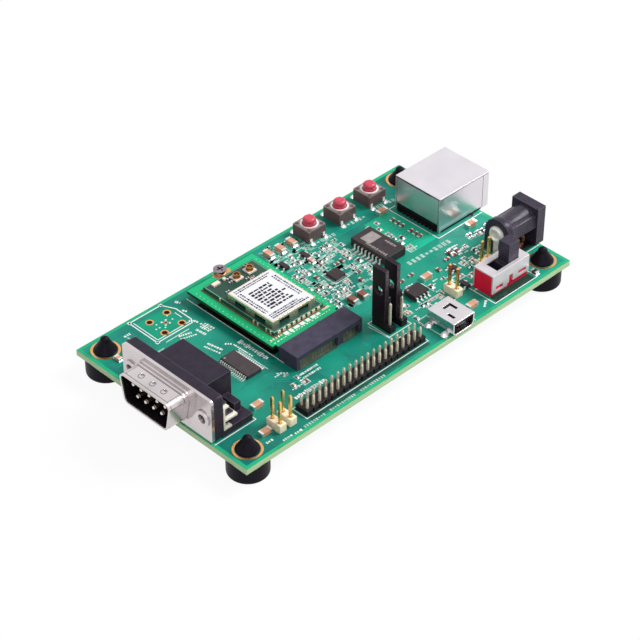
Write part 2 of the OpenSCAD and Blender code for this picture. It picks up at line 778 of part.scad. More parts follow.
module serial_shell() {
    dimple_r = 1;
    dimple_d = 0.22;
    dimple_pitch = 3.9;
    dimple_z = shell_z + shell_h / 2 + dimple_r - dimple_d;
    color("silver") on_board() difference() {
        union() {
            along_x(flange_x, plate_x) flange_outline();
            along_x(flange_x - root_l, flange_x + eps) d_outline(-root_w);
            along_x(shell_tip_x, flange_x + eps) d_outline(0);
        }
        along_x(shell_tip_x - 1, plate_x + 1) d_outline(shell_t);
        for (y = insert_spots) rod_x(y, serial_z, insert_hole_r, flange_x - 1, plate_x + 1);
        for (i = [-1 : 1])
            translate([flange_x - shell_l / 2, serial_y + i * dimple_pitch, dimple_z]) sphere(dimple_r);
    }
}

module serial_housing() {
    color([0.16, 0.15, 0.18]) on_board() difference() {
        union() {
            along_x(plate_x, plate_back_x) flange_outline();
            along_x(insulator_x, plate_x + eps) d_outline(shell_t + fit);
            slab([(plate_back_x + block_back_x) / 2, serial_y], [serial_block_l + 2 * eps, serial_block_w],
                0, serial_block_h);
            slab([(plate_back_x + block_back_x) / 2, serial_y], [serial_block_l + 2 * eps, flange_w],
                0, serial_base_h);
            slab([block_back_x - serial_rib_l, serial_y], [serial_rib_l, insert_span], 0, serial_rib_h);
        }
        for (y = insert_spots) {
            rod_x(y, serial_z, insert_hole_r, plate_x - 1, plate_back_x + 1);
            post([lock_leg_x, y], lock_leg_r + fit, -1, serial_base_h + 1);
        }
        for (p = serial_pins_at) {
            rod_x(p[0], p[1], serial_pin_r + fit, insulator_x - 1, p[2] + serial_tail_r + fit);
            post([p[2], p[0]], serial_tail_r + fit, -1, p[1]);
        }
    }
}

module serial_pins() {
    tip_x = shell_tip_x + serial_pin_set + serial_pin_r;
    color("gold") on_board() for (p = serial_pins_at) {
        translate([tip_x, p[0], p[1]]) sphere(serial_pin_r);
        rod_x(p[0], p[1], serial_pin_r, tip_x, p[2] + serial_tail_r);
        post([p[2], p[0]], serial_tail_r, -board_t - pin_tail, p[1]);
    }
}

module serial_inserts() {
    color("lightgray") on_board() for (y = insert_spots) difference() {
        union() {
            rod_x(y, serial_z, insert_head_r, flange_x - insert_head_t, flange_x);
            rod_x(y, serial_z, insert_hole_r - fit, flange_x - eps, plate_back_x + lock_t);
        }
        rod_x(y, serial_z, insert_bore_r, flange_x - 2, plate_back_x + 2);
    }
}

// A bent strip of lock sheet across the lock's width, from the plate back by a length
module lock_strip(length, z0, z1) {
    block([plate_back_x, lock_in, z0], [plate_back_x + length, lock_in + lock_w, z1]);
}

module serial_board_locks() {
    insert_y = insert_span / 2;
    color("gainsboro") on_board() translate([0, serial_y, 0]) for (s = [0, 1]) mirror([0, s, 0]) {
        difference() {
            lock_strip(lock_t, serial_base_h, lock_top);
            rod_x(insert_y, serial_z, insert_hole_r, plate_x, plate_back_x + 2);
        }
        difference() {
            lock_strip(lock_reach + lock_leg_r, lock_tongue_z, lock_tongue_z + lock_t);
            rod_x(insert_y, serial_z, insert_hole_r, plate_x, plate_back_x + lock_t);
        }
        lock_strip(lock_t + lock_foot_l, serial_base_h, serial_base_h + lock_t);
        lock_strip(lock_t + lock_hook_l, lock_top - lock_t, lock_top);
        post([lock_leg_x, insert_y], lock_leg_r, -board_t - pin_tail, lock_tongue_z + eps);
    }
}

module ethernet_shield() {
    half = ethernet_w / 2;
    slit_half = 4.6;
    mouth = cavity_w / 2 + 0.3;
    color("gainsboro") on_board() {
        difference() {
            block([ethernet_back_x, ethernet_y - half, 0],
                [ethernet_front_x, ethernet_y + half, ethernet_h]);
            block([ethernet_back_x + shield_t, ethernet_y - half + shield_t, -1],
                [ethernet_front_x - shield_t, ethernet_y + half - shield_t, ethernet_h - shield_t]);
            block([ethernet_front_x - 1, ethernet_y - mouth, cavity_floor - 0.3],
                [ethernet_front_x + 1, ethernet_y + mouth, cavity_top + 0.2]);
            block([ethernet_back_x - 1, ethernet_y - half + 0.7, -1],
                [ethernet_back_x + 1, ethernet_y + half - 0.7, shield_gap_h]);
            block([ethernet_back_x - 1, ethernet_y - slit_half, ethernet_h - 2 * shield_t - 0.1],
                [ethernet_back_x + shield_t + eps, ethernet_y + slit_half, ethernet_h - shield_t - 0.05]);
        }
        for (y = shield_tab_ys)
            slab([shield_tab_x, y], [2 * tab_half, shield_t], -board_t - pin_tail, eps);
    }
}

module ethernet_housing() {
    half = ethernet_w / 2 - shield_t - fit;
    color([0.1, 0.1, 0.11]) on_board() difference() {
        union() {
            block([ethernet_back_x + shield_t + fit, ethernet_y - half, 0],
                [ethernet_front_x - shield_t - fit, ethernet_y + half, ethernet_h - shield_t - fit]);
            for (p = peg_spots) post(p, peg_r, -board_t, eps);
        }
        block([cavity_back_x, ethernet_y - cavity_w / 2, cavity_z],
            [ethernet_front_x + 1, ethernet_y + cavity_w / 2, cavity_top]);
        block([cavity_back_x, ethernet_y - latch_w / 2, cavity_floor],
            [ethernet_front_x + 1, ethernet_y + latch_w / 2, cavity_z + eps]);
        for (i = [0 : 7]) {
            x = wire_tail_xs[i % 2];
            slot = wire_w / 2 + fit;
            block([x - slot, wire_ys[i] - slot, wire_back_z - slot],
                [cavity_back_x + 1, wire_ys[i] + slot, wire_back_z + slot]);
            slab([x, wire_ys[i]], [2 * slot, 2 * slot], -1, wire_back_z);
        }
    }
}

module ethernet_contacts() {
    h = wire_w / 2;
    end_z = -board_t - pin_tail;
    color("gold") on_board() for (i = [0 : 7]) {
        x = wire_tail_xs[i % 2];
        along_y(wire_ys[i] - h, wire_ys[i] + h) polygon([
            [wire_front_x, wire_front_z + h], [cavity_back_x, wire_back_z + h], [x - h, wire_back_z + h],
            [x - h, end_z], [x + h, end_z], [x + h, wire_back_z - h],
            [cavity_back_x, wire_back_z - h], [wire_front_x, wire_front_z - h]]);
    }
}

module power_jack_housing() {
    front_back_x = jack_front_x - jack_front_l;
    color([0.13, 0.12, 0.15]) on_board() difference() {
        union() {
            slab([jack_front_x - jack_front_l / 2, jack_y], [jack_front_l, jack_w], 0, jack_h);
            rod_x(jack_y, barrel_z, barrel_r, jack_back_x, front_back_x + eps);
            rod_x(jack_y, barrel_z, collar_rear_r, jack_back_x, jack_back_x + jack_rear_l);
            for (a = rib_angles)
                rod_x(jack_y + rib_at * cos(a), barrel_z + rib_at * sin(a), barrel_rib_r,
                    jack_back_x + eps, front_back_x + eps);
            slab([jack_back_x + jack_rear_l / 2, jack_y], [jack_rear_l, 2 * collar_rear_r], 0, barrel_z);
        }
        rod_x(jack_y, barrel_z, socket_r, socket_floor_x, jack_front_x + 1);
        rod_x(jack_y, barrel_z, pin_root_r + fit, jack_back_x - 1, jack_front_x);
        slab([leaf_slot_x, jack_y], [terminal_t + 2 * fit, 2 * leaf_half + 2 * fit], 0, leaf_z + terminal_t);
    }
}

module power_jack_pin() {
    tip_x = jack_front_x - centre_pin_set - centre_pin_r;
    color("silver") on_board() {
        translate([tip_x, jack_y, barrel_z]) sphere(centre_pin_r);
        rod_x(jack_y, barrel_z, centre_pin_r, socket_floor_x, tip_x);
        rod_x(jack_y, barrel_z, pin_root_r, jack_back_x - 1.5 * terminal_t, socket_floor_x + eps);
        rod_x(jack_y, barrel_z, ring_terminal_r, jack_back_x - terminal_t, jack_back_x);
        translate([jack_back_x - rivet_wire_r - eps, jack_y, barrel_z]) rotate([0, 90, 0])
            rotate_extrude() translate([rivet_ring_r, 0]) circle(rivet_wire_r, $fn = 24);
        slab([strip_x, jack_y], [terminal_t, 2 * leaf_half], -board_t - pin_tail, barrel_z);
    }
}

module power_jack_leaf() {
    color("silver") on_board() {
        block([leaf_slot_x - terminal_t / 2, jack_y - leaf_half, leaf_z],
            [jack_front_x - 1.5, jack_y + leaf_half, leaf_z + terminal_t / 2]);
        slab([leaf_slot_x, jack_y], [terminal_t, 2 * leaf_half], -board_t - pin_tail, leaf_z + eps);
    }
}

// The shell's outline in X and Z, drawn in by a margin
module usb_outline(margin) {
    half = usb_w / 2 - margin;
    low = usb_slant + margin * 0.4142;
    polygon([[usb_x - half, low], [usb_x - half, usb_h - margin], [usb_x + half, usb_h - margin],
        [usb_x + half, low], [usb_x + half - low + margin, margin], [usb_x - half + low - margin, margin]]);
}

module usb_shell() {
    tab_w = 1.6;
    tab_reach = 0.9;
    cut = 0.8;
    latch_half = 1.2;
    latch_y0 = usb_front_y + 1.7;
    latch_y1 = usb_front_y + 3.9;
    latch_y2 = usb_front_y + 6.6;
    // Slots around the latch springs in the top: [lowest corner, highest corner]
    slots = [
        [[usb_x - latch_half - cut, latch_y0], [usb_x - latch_half, latch_y1]],
        [[usb_x + latch_half, latch_y1], [usb_x + latch_half + cut, latch_y2]],
        [[usb_x - cut, latch_y2 - cut], [usb_x + latch_half + cut, latch_y2]]
    ];
    color("gainsboro") on_board() {
        difference() {
            along_y(usb_front_y, usb_back_y) usb_outline(0);
            along_y(usb_front_y - 1, usb_back_y + 1) usb_outline(usb_t);
            for (s = slots) block([s[0].x, s[0].y, usb_h - 1], [s[1].x, s[1].y, usb_h + 1]);
        }
        for (s = [-1, 1], y = [usb_front_y + 2.2, usb_back_y - 1.4]) {
            x = usb_x + s * (usb_w / 2 + tab_reach / 2 - eps);
            slab([x, y], [tab_reach, tab_w], 0, usb_t);
            slab([usb_x + s * (usb_w / 2 - usb_t / 2), y], [usb_t, tab_w], 0, usb_slant + 0.3);
        }
    }
}

module usb_insert() {
    rear_l = 2.4;
    color([0.12, 0.12, 0.13]) on_board() difference() {
        union() {
            along_y(usb_back_y - rear_l, usb_back_y) usb_outline(usb_t + fit);
            slab([usb_x, (usb_front_y + usb_back_y) / 2 - 0.6], [tongue_w, usb_l - rear_l - 0.6],
                tongue_z, tongue_z + tongue_t);
        }
        for (x = usb_contact_xs)
            slab([x, usb_back_y], [usb_contact_w + 2 * fit, 3 * rear_l], usb_contact_z - fit, tongue_z);
    }
}

module usb_contacts() {
    half = usb_contact_w / 2;
    end_y = usb_back_y + 0.3;
    color("gold") on_board() for (x = usb_contact_xs) {
        block([x - half, usb_front_y + 1.8, usb_contact_z], [x + half, end_y, tongue_z]);
        block([x - half, usb_back_y + fit, 0], [x + half, end_y, tongue_z]);
        block([x - half, usb_back_y + fit, 0], [x + half, end_y + 0.8, usb_contact_t]);
    }
}

module switch_base() {
    color("firebrick") on_board() difference() {
        block([switch_x0, switch_y0 + frame_t, 0], [switch_x1, switch_y1 - frame_t, switch_h - frame_t]);
        slab([switch_mid_x, slot_y], [carriage_l + lever_travel + 2 * lever_gap, carriage_w + 2 * lever_gap],
            switch_floor, switch_h);
        for (x = terminal_xs) slab([x, switch_mid_y], [1 + 2 * fit, 0.5 + 2 * fit], -1, 1);
    }
}

module switch_frame() {
    skirt = 0.9;
    // Cut-outs in both long sides: [first and last x from the left end, lowest and highest z]
    cuts = [[1.3, 4, 1.5, 2.7], [5.6, switch_l + 1, 0, 1.5], [6.2, 7.6, 1.4, 3.7], [9.6, 12.6, 2.2, 3.3]];
    color("gainsboro") on_board() difference() {
        block([switch_x0, switch_y0, skirt], [switch_x1, switch_y1, switch_h]);
        block([switch_x0 - 1, switch_y0 + frame_t, -1],
            [switch_x1 + 1, switch_y1 - frame_t, switch_h - frame_t]);
        slab([switch_mid_x, slot_y], [slot_l, slot_w], 0, switch_h + 1);
        for (c = cuts)
            block([switch_x0 + c[0], switch_y0 - 1, c[2]], [switch_x0 + c[1], switch_y1 + 1, c[3]]);
    }
}

module switch_lever() {
    color([0.14, 0.13, 0.16]) on_board() {
        slab([lever_x, slot_y], [carriage_l, carriage_w], switch_floor + lever_gap,
            switch_h - frame_t - lever_gap);
        slab([lever_x, slot_y], [lever_l, slot_w - 2 * lever_gap],
            switch_floor + lever_gap, switch_h + lever_h);
    }
}

module switch_terminals() {
    color("silver") on_board() for (x = terminal_xs)
        slab([x, switch_mid_y], [1, 0.5], -board_t - pin_tail, 1 - fit);
}

module button_housings() {
    color([0.24, 0.2, 0.21]) on_board() for (p = button_spots) translate(p) {
        difference() {
            slab([0, 0], [button_w, button_w], 0, button_h);
            post([0, 0], collar_r + 0.15, button_floor, button_h + 1);
        }
        for (sx = [-1, 1], sy = [-1, 1])
            post([sx * rivet_at, sy * rivet_at], rivet_r, button_h - eps, button_h + cover_t + 0.15);
    }
}

module button_covers() {
    color("silver") on_board() for (p = button_spots) translate(p) difference() {
        slab([0, 0], [button_w - 0.1, button_w - 0.1], button_h, button_h + cover_t);
        post([0, 0], cap_r + 0.12, button_h - 1, button_h + 1);
        for (sx = [-1, 1], sy = [-1, 1])
            post([sx * rivet_at, sy * rivet_at], rivet_r + fit, button_h - 1, button_h + 1);
    }
}

module button_domes() {
    sheet = 0.1;
    color("silver") on_board() for (p = button_spots) translate([p.x, p.y, button_floor]) difference() {
        cylinder(r1 = collar_r, r2 = collar_r * 0.55, h = dome_h);
        translate([0, 0, -sheet]) cylinder(r1 = collar_r, r2 = collar_r * 0.55, h = dome_h);
    }
}

module button_leads() {
    reach = 1.2;
    sheet = 0.2;
    half = 0.35;
    color("gainsboro") on_board() for (p = button_spots, sx = [-1, 1], sy = [-1, 1])
        translate([p.x + sx * button_lead_x, p.y + sy * button_w / 2, 0]) mirror([0, sy < 0 ? 1 : 0, 0]) {
            block([-half, 0, 0], [half, sheet, 1.2]);
            block([-half, 0, 0], [half, reach, sheet]);
        }
}

// A red cap on its plunger, held under the cover plate by a collar
module button(i) {
    seat = button_floor + dome_h + button_travel + 0.05;
    top = button_h + cover_t + cap_h;
    color("indianred") on_board() translate(button_spots[i]) {
        post([0, 0], collar_r, seat, min(seat + collar_t, button_h - 0.05));
        translate([0, 0, seat]) rotate_extrude() {
            square([cap_r, top - seat - cap_edge_r]);
            square([cap_r - cap_edge_r, top - seat]);
            translate([cap_r - cap_edge_r, top - seat - cap_edge_r]) intersection() {
                circle(cap_edge_r);
                square(cap_edge_r);
            }
        }
    }
}

module card_socket() {
    mouth_z = card_z - fit;
    color([0.19, 0.18, 0.23]) on_board() difference() {
        block([holder_x0, holder_y0, 0], [holder_x0 + holder_w, holder_y1, holder_h]);
        block([card_x - edge_w / 2 - 2 * fit, edge_end_y - 2 * fit, mouth_z],
            [card_x + edge_w / 2 + 2 * fit, holder_y1 + 1, card_top + fit]);
        block([window_x0, holder_y0 - 1, -1], [window_x0 + window_a, holder_y0 + window_d, window_h]);
        block([window_x1, holder_y0 - 1, -1], [window_x1 + window_b, holder_y0 + window_d, window_h]);
    }
}

module card_socket_contacts() {
    stem_y = holder_y0 + window_d - 0.4;
    color([0.5, 0.45, 0.3]) on_board() for (x = contact_xs) {
        block([x - contact_w / 2, stem_y, 0], [x + contact_w / 2, holder_y0 + window_d, window_h]);
        block([x - contact_w / 2, holder_y0 - 0.3, 0], [x + contact_w / 2, stem_y + eps, 0.2]);
    }
}

module card_board() {
    key_x = card_x + edge_w * 0.18;
    color("limegreen") on_board() difference() {
        union() {
            block([card_x - card_w / 2, card_front_y, card_z], [card_x + card_w / 2, card_end_y, card_top]);
            block([card_x - edge_w / 2, edge_end_y, card_z],
                [card_x + edge_w / 2, card_front_y + eps, card_top]);
        }
        post([card_x, card_end_y], card_hole_r, card_z - 1, card_top + 1);
        slab([key_x, edge_end_y], [edge_key_w, 2 * edge_key_l], card_z - 1, card_top + 1);
    }
}

module card_spacer() {
    color("darkkhaki") on_board() difference() {
        post([card_x, card_end_y], spacer_r, 0, card_z);
        post([card_x, card_end_y], screw_r + fit, -1, card_z + 1);
    }
}

module card_screw() {
    at = [card_x, card_end_y];
    slot = [0.5, screw_head_r * 1.2];
    head_top = card_top + screw_head_h;
    slot_z = head_top - screw_head_h * 0.6;
    color("dimgray") on_board() difference() {
        union() {
            post(at, screw_r, 0.2, card_top + eps);
            post(at, screw_head_r, card_top, head_top);
        }
        slab(at, slot, slot_z, head_top + 1);
        slab(at, [slot.y, slot.x], slot_z, head_top + 1);
    }
}

module radio_board() {
    color("darkgreen") on_board()
        block([radio_x - radio_w / 2, radio_y0, card_top], [radio_x + radio_w / 2, radio_y1, radio_top]);
}

module radio_can() {
    half = can_w / 2;
    gap_z = radio_top + can_h * 0.6;
    color("wheat") on_board() difference() {
        block([radio_x - half, can_y0, radio_top], [radio_x + half, can_y1, can_top]);
        block([radio_x - half + can_t, can_y0 + can_t, radio_top - 1],
            [radio_x + half - can_t, can_y1 - can_t, can_top - can_t]);
        for (s = [-1, 1]) {
            slab([radio_x + s * can_w * 0.22, (can_y0 + can_y1) / 2], [can_w * 0.24, can_l + 2],
                radio_top - 1, gap_z);
            slab([radio_x, (can_y0 + can_y1) / 2 + s * can_l * 0.22], [can_w + 2, can_l * 0.24],
                radio_top - 1, gap_z);
        }
    }
}

module radio_label() {
    half = can_w / 2 - label_margin;
    color("white") on_board() block([radio_x - half, can_y0 + label_margin, can_top],
        [radio_x + half, can_y1 - label_margin, can_top + label_t]);
}

module antenna_bases() {
    color("ivory") on_board() for (p = antenna_spots) difference() {
        slab(p, [antenna_base_w, antenna_base_w], radio_top, radio_top + antenna_base_h);
        post(p, 0.25 + fit, radio_top - 1, radio_top + 1);
    }
}

module antenna_sockets() {
    base_z = radio_top + antenna_base_h;
    color("darkgoldenrod") on_board() for (p = antenna_spots) {
        difference() {
            post(p, antenna_r, base_z, base_z + antenna_h);
            post(p, antenna_r * 0.7, base_z + 0.15, base_z + antenna_h + 1);
        }
        post(p, 0.25, radio_top, base_z + antenna_h * 0.8);
    }
}

module pin_header_strip() {
    notch = 0.5;
    color([0.12, 0.11, 0.13]) on_board() difference() {
        block([header_x - header_l / 2, header_y0, 0],
            [header_x + header_l / 2, header_y0 + 2 * header_pitch, header_h]);
        for (p = header_spots) slab(p, [header_pin_w + 2 * fit, header_pin_w + 2 * fit], -1, header_h + 1);
        for (i = [1 : header_columns - 1], y = [header_y0, header_y0 + 2 * header_pitch])
            slab([header_x - header_l / 2 + i * header_pitch, y], [notch, notch], -1, header_h + 1);
    }
}

module pin_header_pins() {
    color("tan") on_board() for (p = header_spots)
        square_pin(p, header_pin_w, -board_t - pin_tail, header_top);
}

module link_header_strips() {
    long = link_pitch + link_w;
    hole = link_pin_w + 2 * fit;
    color("cornsilk") on_board() difference() {
        union() {
            for (i = [0, 1])
                slab([corner_x + i * corner_pitch, corner_y + link_pitch / 2], [link_w, long], 0, link_h);
            slab([side_x, side_y + link_pitch / 2], [link_w, long], 0, link_h);
            slab([supply_x + link_pitch / 2, supply_y], [long, link_w], 0, link_h);
        }
        for (p = link_spots) slab(p, [hole, hole], -1, link_h + 1);
    }
}

module link_header_pins() {
    color("gold") on_board() for (p = link_spots) square_pin(p, link_pin_w, -board_t - pin_tail, link_top);
}

module jumper_header_strips() {
    hole = mode_pin_w + 2 * fit;
    color([0.12, 0.11, 0.13]) on_board() difference() {
        for (x = mode_xs) slab([x, mode_y + mode_pitch], [mode_w, 3 * mode_pitch + 0.2], 0, mode_h);
        for (p = mode_spots) slab(p, [hole, hole], -1, mode_h + 1);
    }
}

module jumper_header_pins() {
    color("tan") on_board() for (p = mode_spots) square_pin(p, mode_pin_w, -board_t - pin_tail, mode_top);
}

// A shunt with a tall flat handle
module jumper(i) {
    at = [mode_xs[i], jumper_y];
    handle_top = jumper_top + handle_h;
    color([0.13, 0.12, 0.14]) on_board() difference() {
        union() {
            slab(at, [jumper_w, jumper_l], jumper_z, jumper_top);
            slab([at.x - (jumper_w - handle_t) / 2, at.y], [handle_t, jumper_l],
                jumper_top - eps, handle_top);
        }
        slab(at, [pocket_w, pocket_l], jumper_z - 1, pocket_top);
        rod_x(at.y, jumper_top + handle_hole_z, handle_hole_r, at.x - jumper_w, at.x + jumper_w);
    }
}

// The spring clip inside a shunt: two leaves joined over the pin tips
module jumper_clip(i) {
    at = [mode_xs[i], jumper_y];
    inner = mode_pin_w / 2 + fit;
    long = pocket_l - 2 * fit;
    color("silver") on_board() {
        for (s = [-1, 1])
            slab([at.x + s * (inner + clip_t / 2), at.y], [clip_t, long], jumper_z + 0.4, pocket_top - fit);
        slab(at, [2 * (inner + clip_t), long], mode_top + 0.2, pocket_top - fit);
    }
}

// A moulded chip body, standing a little off the board
module chip_body(c) {
    translate([c[0].x, c[0].y, 0]) rotate(c[6]) slab([0, 0], [c[1], c[2]], lead_t, c[3]);
}

// The bent leads along both sides of a chip
module leads(c, w) {
    mid = c[3] / 2;
    translate([c[0].x, c[0].y, 0]) rotate(c[6]) for (s = [0, 1], i = [0 : c[4] - 1])
        mirror([s, 0, 0]) translate([c[1] / 2, (i - (c[4] - 1) / 2) * c[5], 0]) {
            block([0, -w / 2, mid], [0.4 * lead_reach, w / 2, mid + lead_t]);
            block([0.4 * lead_reach - lead_t, -w / 2, 0], [0.4 * lead_reach, w / 2, mid + lead_t]);
            block([0.4 * lead_reach - lead_t, -w / 2, 0], [lead_reach, w / 2, lead_t]);
        }
}

module network_transformer() {
    color([0.17, 0.15, 0.17]) on_board() chip_body(trafo);
}

module serial_driver() {
    color([0.27, 0.25, 0.27]) on_board() chip_body(driver);
}

module regulator_chip() {
    color([0.2, 0.18, 0.2]) on_board() chip_body(regulator);
}

module bridge_chip() {
    color([0.25, 0.2, 0.22]) on_board() slab(bridge_at, [bridge_w, bridge_w], 0, bridge_h);
}

module transistors() {
    color([0.15, 0.14, 0.15]) on_board() for (c = transistors) chip_body(c);
}

module chip_leads() {
    color("gainsboro") on_board() {
        leads(trafo, 0.42);
        leads(driver, 0.25);
        leads(regulator, 0.42);
        for (c = transistors) leads(c, 0.42);
    }
}

// The middle of a chip part between its two metal ends
module chip_part(at, size, end) {
    translate([at[0], at[1], 0]) rotate(at[2]) slab([0, 0], [size.x - 2 * end, size.y], 0, size.z);
}

// The two metal ends of a chip part
module chip_part_ends(at, size, end) {
    translate([at[0], at[1], 0]) rotate(at[2]) for (s = [-1, 1])
        slab([s * (size.x - end) / 2, 0], [end, size.y], 0, size.z);
}

module capacitor_bodies() {
    color("chocolate") on_board() for (p = capacitor_spots) chip_part(p, capacitor_size, capacitor_end);
}

module capacitor_ends() {
    color("whitesmoke") on_board() for (p = capacitor_spots)
        chip_part_ends(p, capacitor_size, capacitor_end);
}

module resistor_bodies() {
    color("saddlebrown") on_board() for (p = resistor_spots) chip_part(p, resistor_size, resistor_end);
}

module resistor_ends() {
    color("whitesmoke") on_board() for (p = resistor_spots) chip_part_ends(p, resistor_size, resistor_end);
}

main_board();
hole_rings();
rubber_feet();
serial_shell();
serial_housing();
serial_pins();
serial_inserts();
serial_board_locks();
ethernet_shield();
ethernet_housing();
ethernet_contacts();
power_jack_housing();
power_jack_pin();
power_jack_leaf();
usb_shell();
usb_insert();
usb_contacts();
switch_base();
switch_frame();
switch_lever();
switch_terminals();
button_housings();
button_covers();
button_domes();
button_leads();
button(0);  // button_1
button(1);  // button_2
button(2);  // button_3
card_socket();
card_socket_contacts();
card_board();
card_spacer();
card_screw();
radio_board();
radio_can();
radio_label();
antenna_bases();
antenna_sockets();
pin_header_strip();
pin_header_pins();
link_header_strips();
link_header_pins();
jumper_header_strips();
jumper_header_pins();
jumper(0);  // jumper_1
jumper(1);  // jumper_2
jumper_clip(0);  // jumper_clip_1
jumper_clip(1);  // jumper_clip_2
network_transformer();
serial_driver();
regulator_chip();
bridge_chip();
transistors();
chip_leads();
capacitor_bodies();
capacitor_ends();
resistor_bodies();
resistor_ends();
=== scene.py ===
"""Looks of a microcontroller development board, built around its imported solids.

Places are in millimetres from the middle of the board's top face, x along the long edge, y towards the
push buttons, z up.
"""

import math
import random
from functools import partial

import bmesh
import bpy
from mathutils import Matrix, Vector

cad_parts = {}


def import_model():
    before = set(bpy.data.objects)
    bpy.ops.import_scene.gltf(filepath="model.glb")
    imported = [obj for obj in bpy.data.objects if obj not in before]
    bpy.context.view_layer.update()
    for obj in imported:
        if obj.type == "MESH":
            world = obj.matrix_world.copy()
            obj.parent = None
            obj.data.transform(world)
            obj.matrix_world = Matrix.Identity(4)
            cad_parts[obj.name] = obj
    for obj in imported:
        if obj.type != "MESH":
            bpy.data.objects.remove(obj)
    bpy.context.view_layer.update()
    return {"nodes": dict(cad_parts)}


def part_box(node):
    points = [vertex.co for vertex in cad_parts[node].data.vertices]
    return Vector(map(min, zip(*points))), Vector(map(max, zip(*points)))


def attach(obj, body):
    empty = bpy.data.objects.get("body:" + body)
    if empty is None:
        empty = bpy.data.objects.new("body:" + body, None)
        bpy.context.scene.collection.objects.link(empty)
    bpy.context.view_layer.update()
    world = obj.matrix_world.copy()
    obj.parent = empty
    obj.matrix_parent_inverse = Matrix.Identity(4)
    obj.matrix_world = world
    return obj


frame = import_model()
nodes = frame["nodes"]
scene = bpy.context.scene

MM = 0.001
board_low, board_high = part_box("main_board")
MIDDLE = Vector(((board_low.x + board_high.x) / 2, (board_low.y + board_high.y) / 2, board_high.z))
HALF_L = (board_high.x - board_low.x) / 2 / MM
HALF_W = (board_high.y - board_low.y) / 2 / MM
BOARD_T = (board_high.z - board_low.z) / MM
BUTTONS = ("button_1", "button_2", "button_3")
SIGNS = [(sx, sy) for sx in (-1, 1) for sy in (-1, 1)]
WHITE = (1, 1, 1, 1)


def place(x, y, z):
    """A point of the board as a point of the frame, in metres."""
    return MIDDLE + Vector((x, y, z)) * MM


def span(node):
    """Lowest and highest corner of a CAD node, in board millimetres."""
    low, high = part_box(node)
    return (low - MIDDLE) / MM, (high - MIDDLE) / MM


def middle(node):
    """Middle of a CAD node seen from above, in board millimetres."""
    low, high = span(node)
    return (low.x + high.x) / 2, (low.y + high.y) / 2


def put(name, data):
    """A new object in the scene."""
    piece = bpy.data.objects.new(name, data)
    scene.collection.objects.link(piece)
    return piece


# Materials


def new_material(name):
    """A new material with its node tree and its principled shader."""
    material = bpy.data.materials.new(name)
    material.use_nodes = True
    tree = material.node_tree
    return material, tree, tree.nodes["Principled BSDF"]


def fill(node, inputs):
    """Fills a shader node's inputs, each with a value or from a socket."""
    for key, value in inputs.items():
        if isinstance(value, bpy.types.NodeSocket):
            node.id_data.links.new(value, node.inputs[key])
        else:
            node.inputs[key].default_value = value


def add(tree, kind, inputs=None, **settings):
    """A new shader node with its inputs and settings."""
    node = tree.nodes.new("ShaderNode" + kind)
    for key, value in settings.items():
        setattr(node, key, value)
    fill(node, inputs or {})
    return node


def noise(tree, scale, detail, stretch=(1, 1, 1)):
    """Noise over the object's own coordinates. Scale is in features per millimetre."""
    coords = add(tree, "TexCoord").outputs["Object"]
    mapped = add(tree, "Mapping", {"Scale": stretch, "Vector": coords}).outputs["Vector"]
    return add(tree, "TexNoise", {"Scale": scale / MM, "Detail": detail, "Vector": mapped}).outputs["Fac"]


def ramp(tree, factor, stops):
    """A colour ramp through (place, colour) stops."""
    node = add(tree, "ValToRGB", {"Fac": factor})
    for element, (spot, colour) in zip(node.color_ramp.elements, stops):
        element.position = spot
        element.color = (*colour, 1)
    return node.outputs["Color"]


def span_value(tree, factor, low, high):
    """A factor around 0.5 spread over a range of values."""
    node = add(tree, "MapRange", {"From Min": 0.3, "From Max": 0.7, "To Min": low, "To Max": high,
                                  "Value": factor})
    return node.outputs["Result"]


def bump(tree, height, depth):
    """Fine relief from a height, depth in millimetres."""
    node = add(tree, "Bump", {"Strength": 1.0, "Distance": depth * MM, "Height": height})
    return node.outputs["Normal"]


def scaled(colour, factor):
    """A colour made lighter or darker."""
    return tuple(min(1.0, c * factor) for c in colour)


def painted_edge_highlights(tree, colour, radius, highlight_amount):
    """A colour drawn paler along edges, as far from them as a radius in millimetres: a painted highlight
    where the edges catch the light.
    """
    rounded = add(tree, "Bevel", {"Radius": radius * MM}, samples=6).outputs["Normal"]
    true = add(tree, "NewGeometry").outputs["True Normal"]
    match = add(tree, "VectorMath", {0: rounded, 1: true}, operation="DOT_PRODUCT").outputs["Value"]
    near = add(tree, "MapRange", {"From Min": 0.99, "From Max": 0.8, "To Max": highlight_amount, "Value": match})
    mix = add(tree, "Mix", {"Factor": near.outputs["Result"], "A": colour, "B": WHITE}, data_type="RGBA")
    return mix.outputs["Result"]


def surface(name, colour, rough, metal=0.0, vary=0.12, grain=2.0, relief=0.0, spread=0.08,
            specular=0.5, edge=0.0):
    """A material with mottled colour, uneven gloss, fine relief and, where asked, painted highlights along
    its edges.
    """
    material, tree, shader = new_material(name)
    patches = noise(tree, grain * 0.18, 4.0)
    fine = noise(tree, grain, 4.0)
    base = ramp(tree, patches, [(0.3, scaled(colour, 1 - vary)), (0.7, scaled(colour, 1 + vary))])
    if edge:
        # Painted edge highlight, as strong as edge
        base = painted_edge_highlights(tree, base, 0.25, edge)
    gloss = span_value(tree, fine, rough - spread, rough + spread)
    fill(shader, {"Base Color": base, "Roughness": gloss, "Metallic": metal,
                  "Specular IOR Level": specular})
    if relief:
        fill(shader, {"Normal": bump(tree, fine, relief)})
    return material


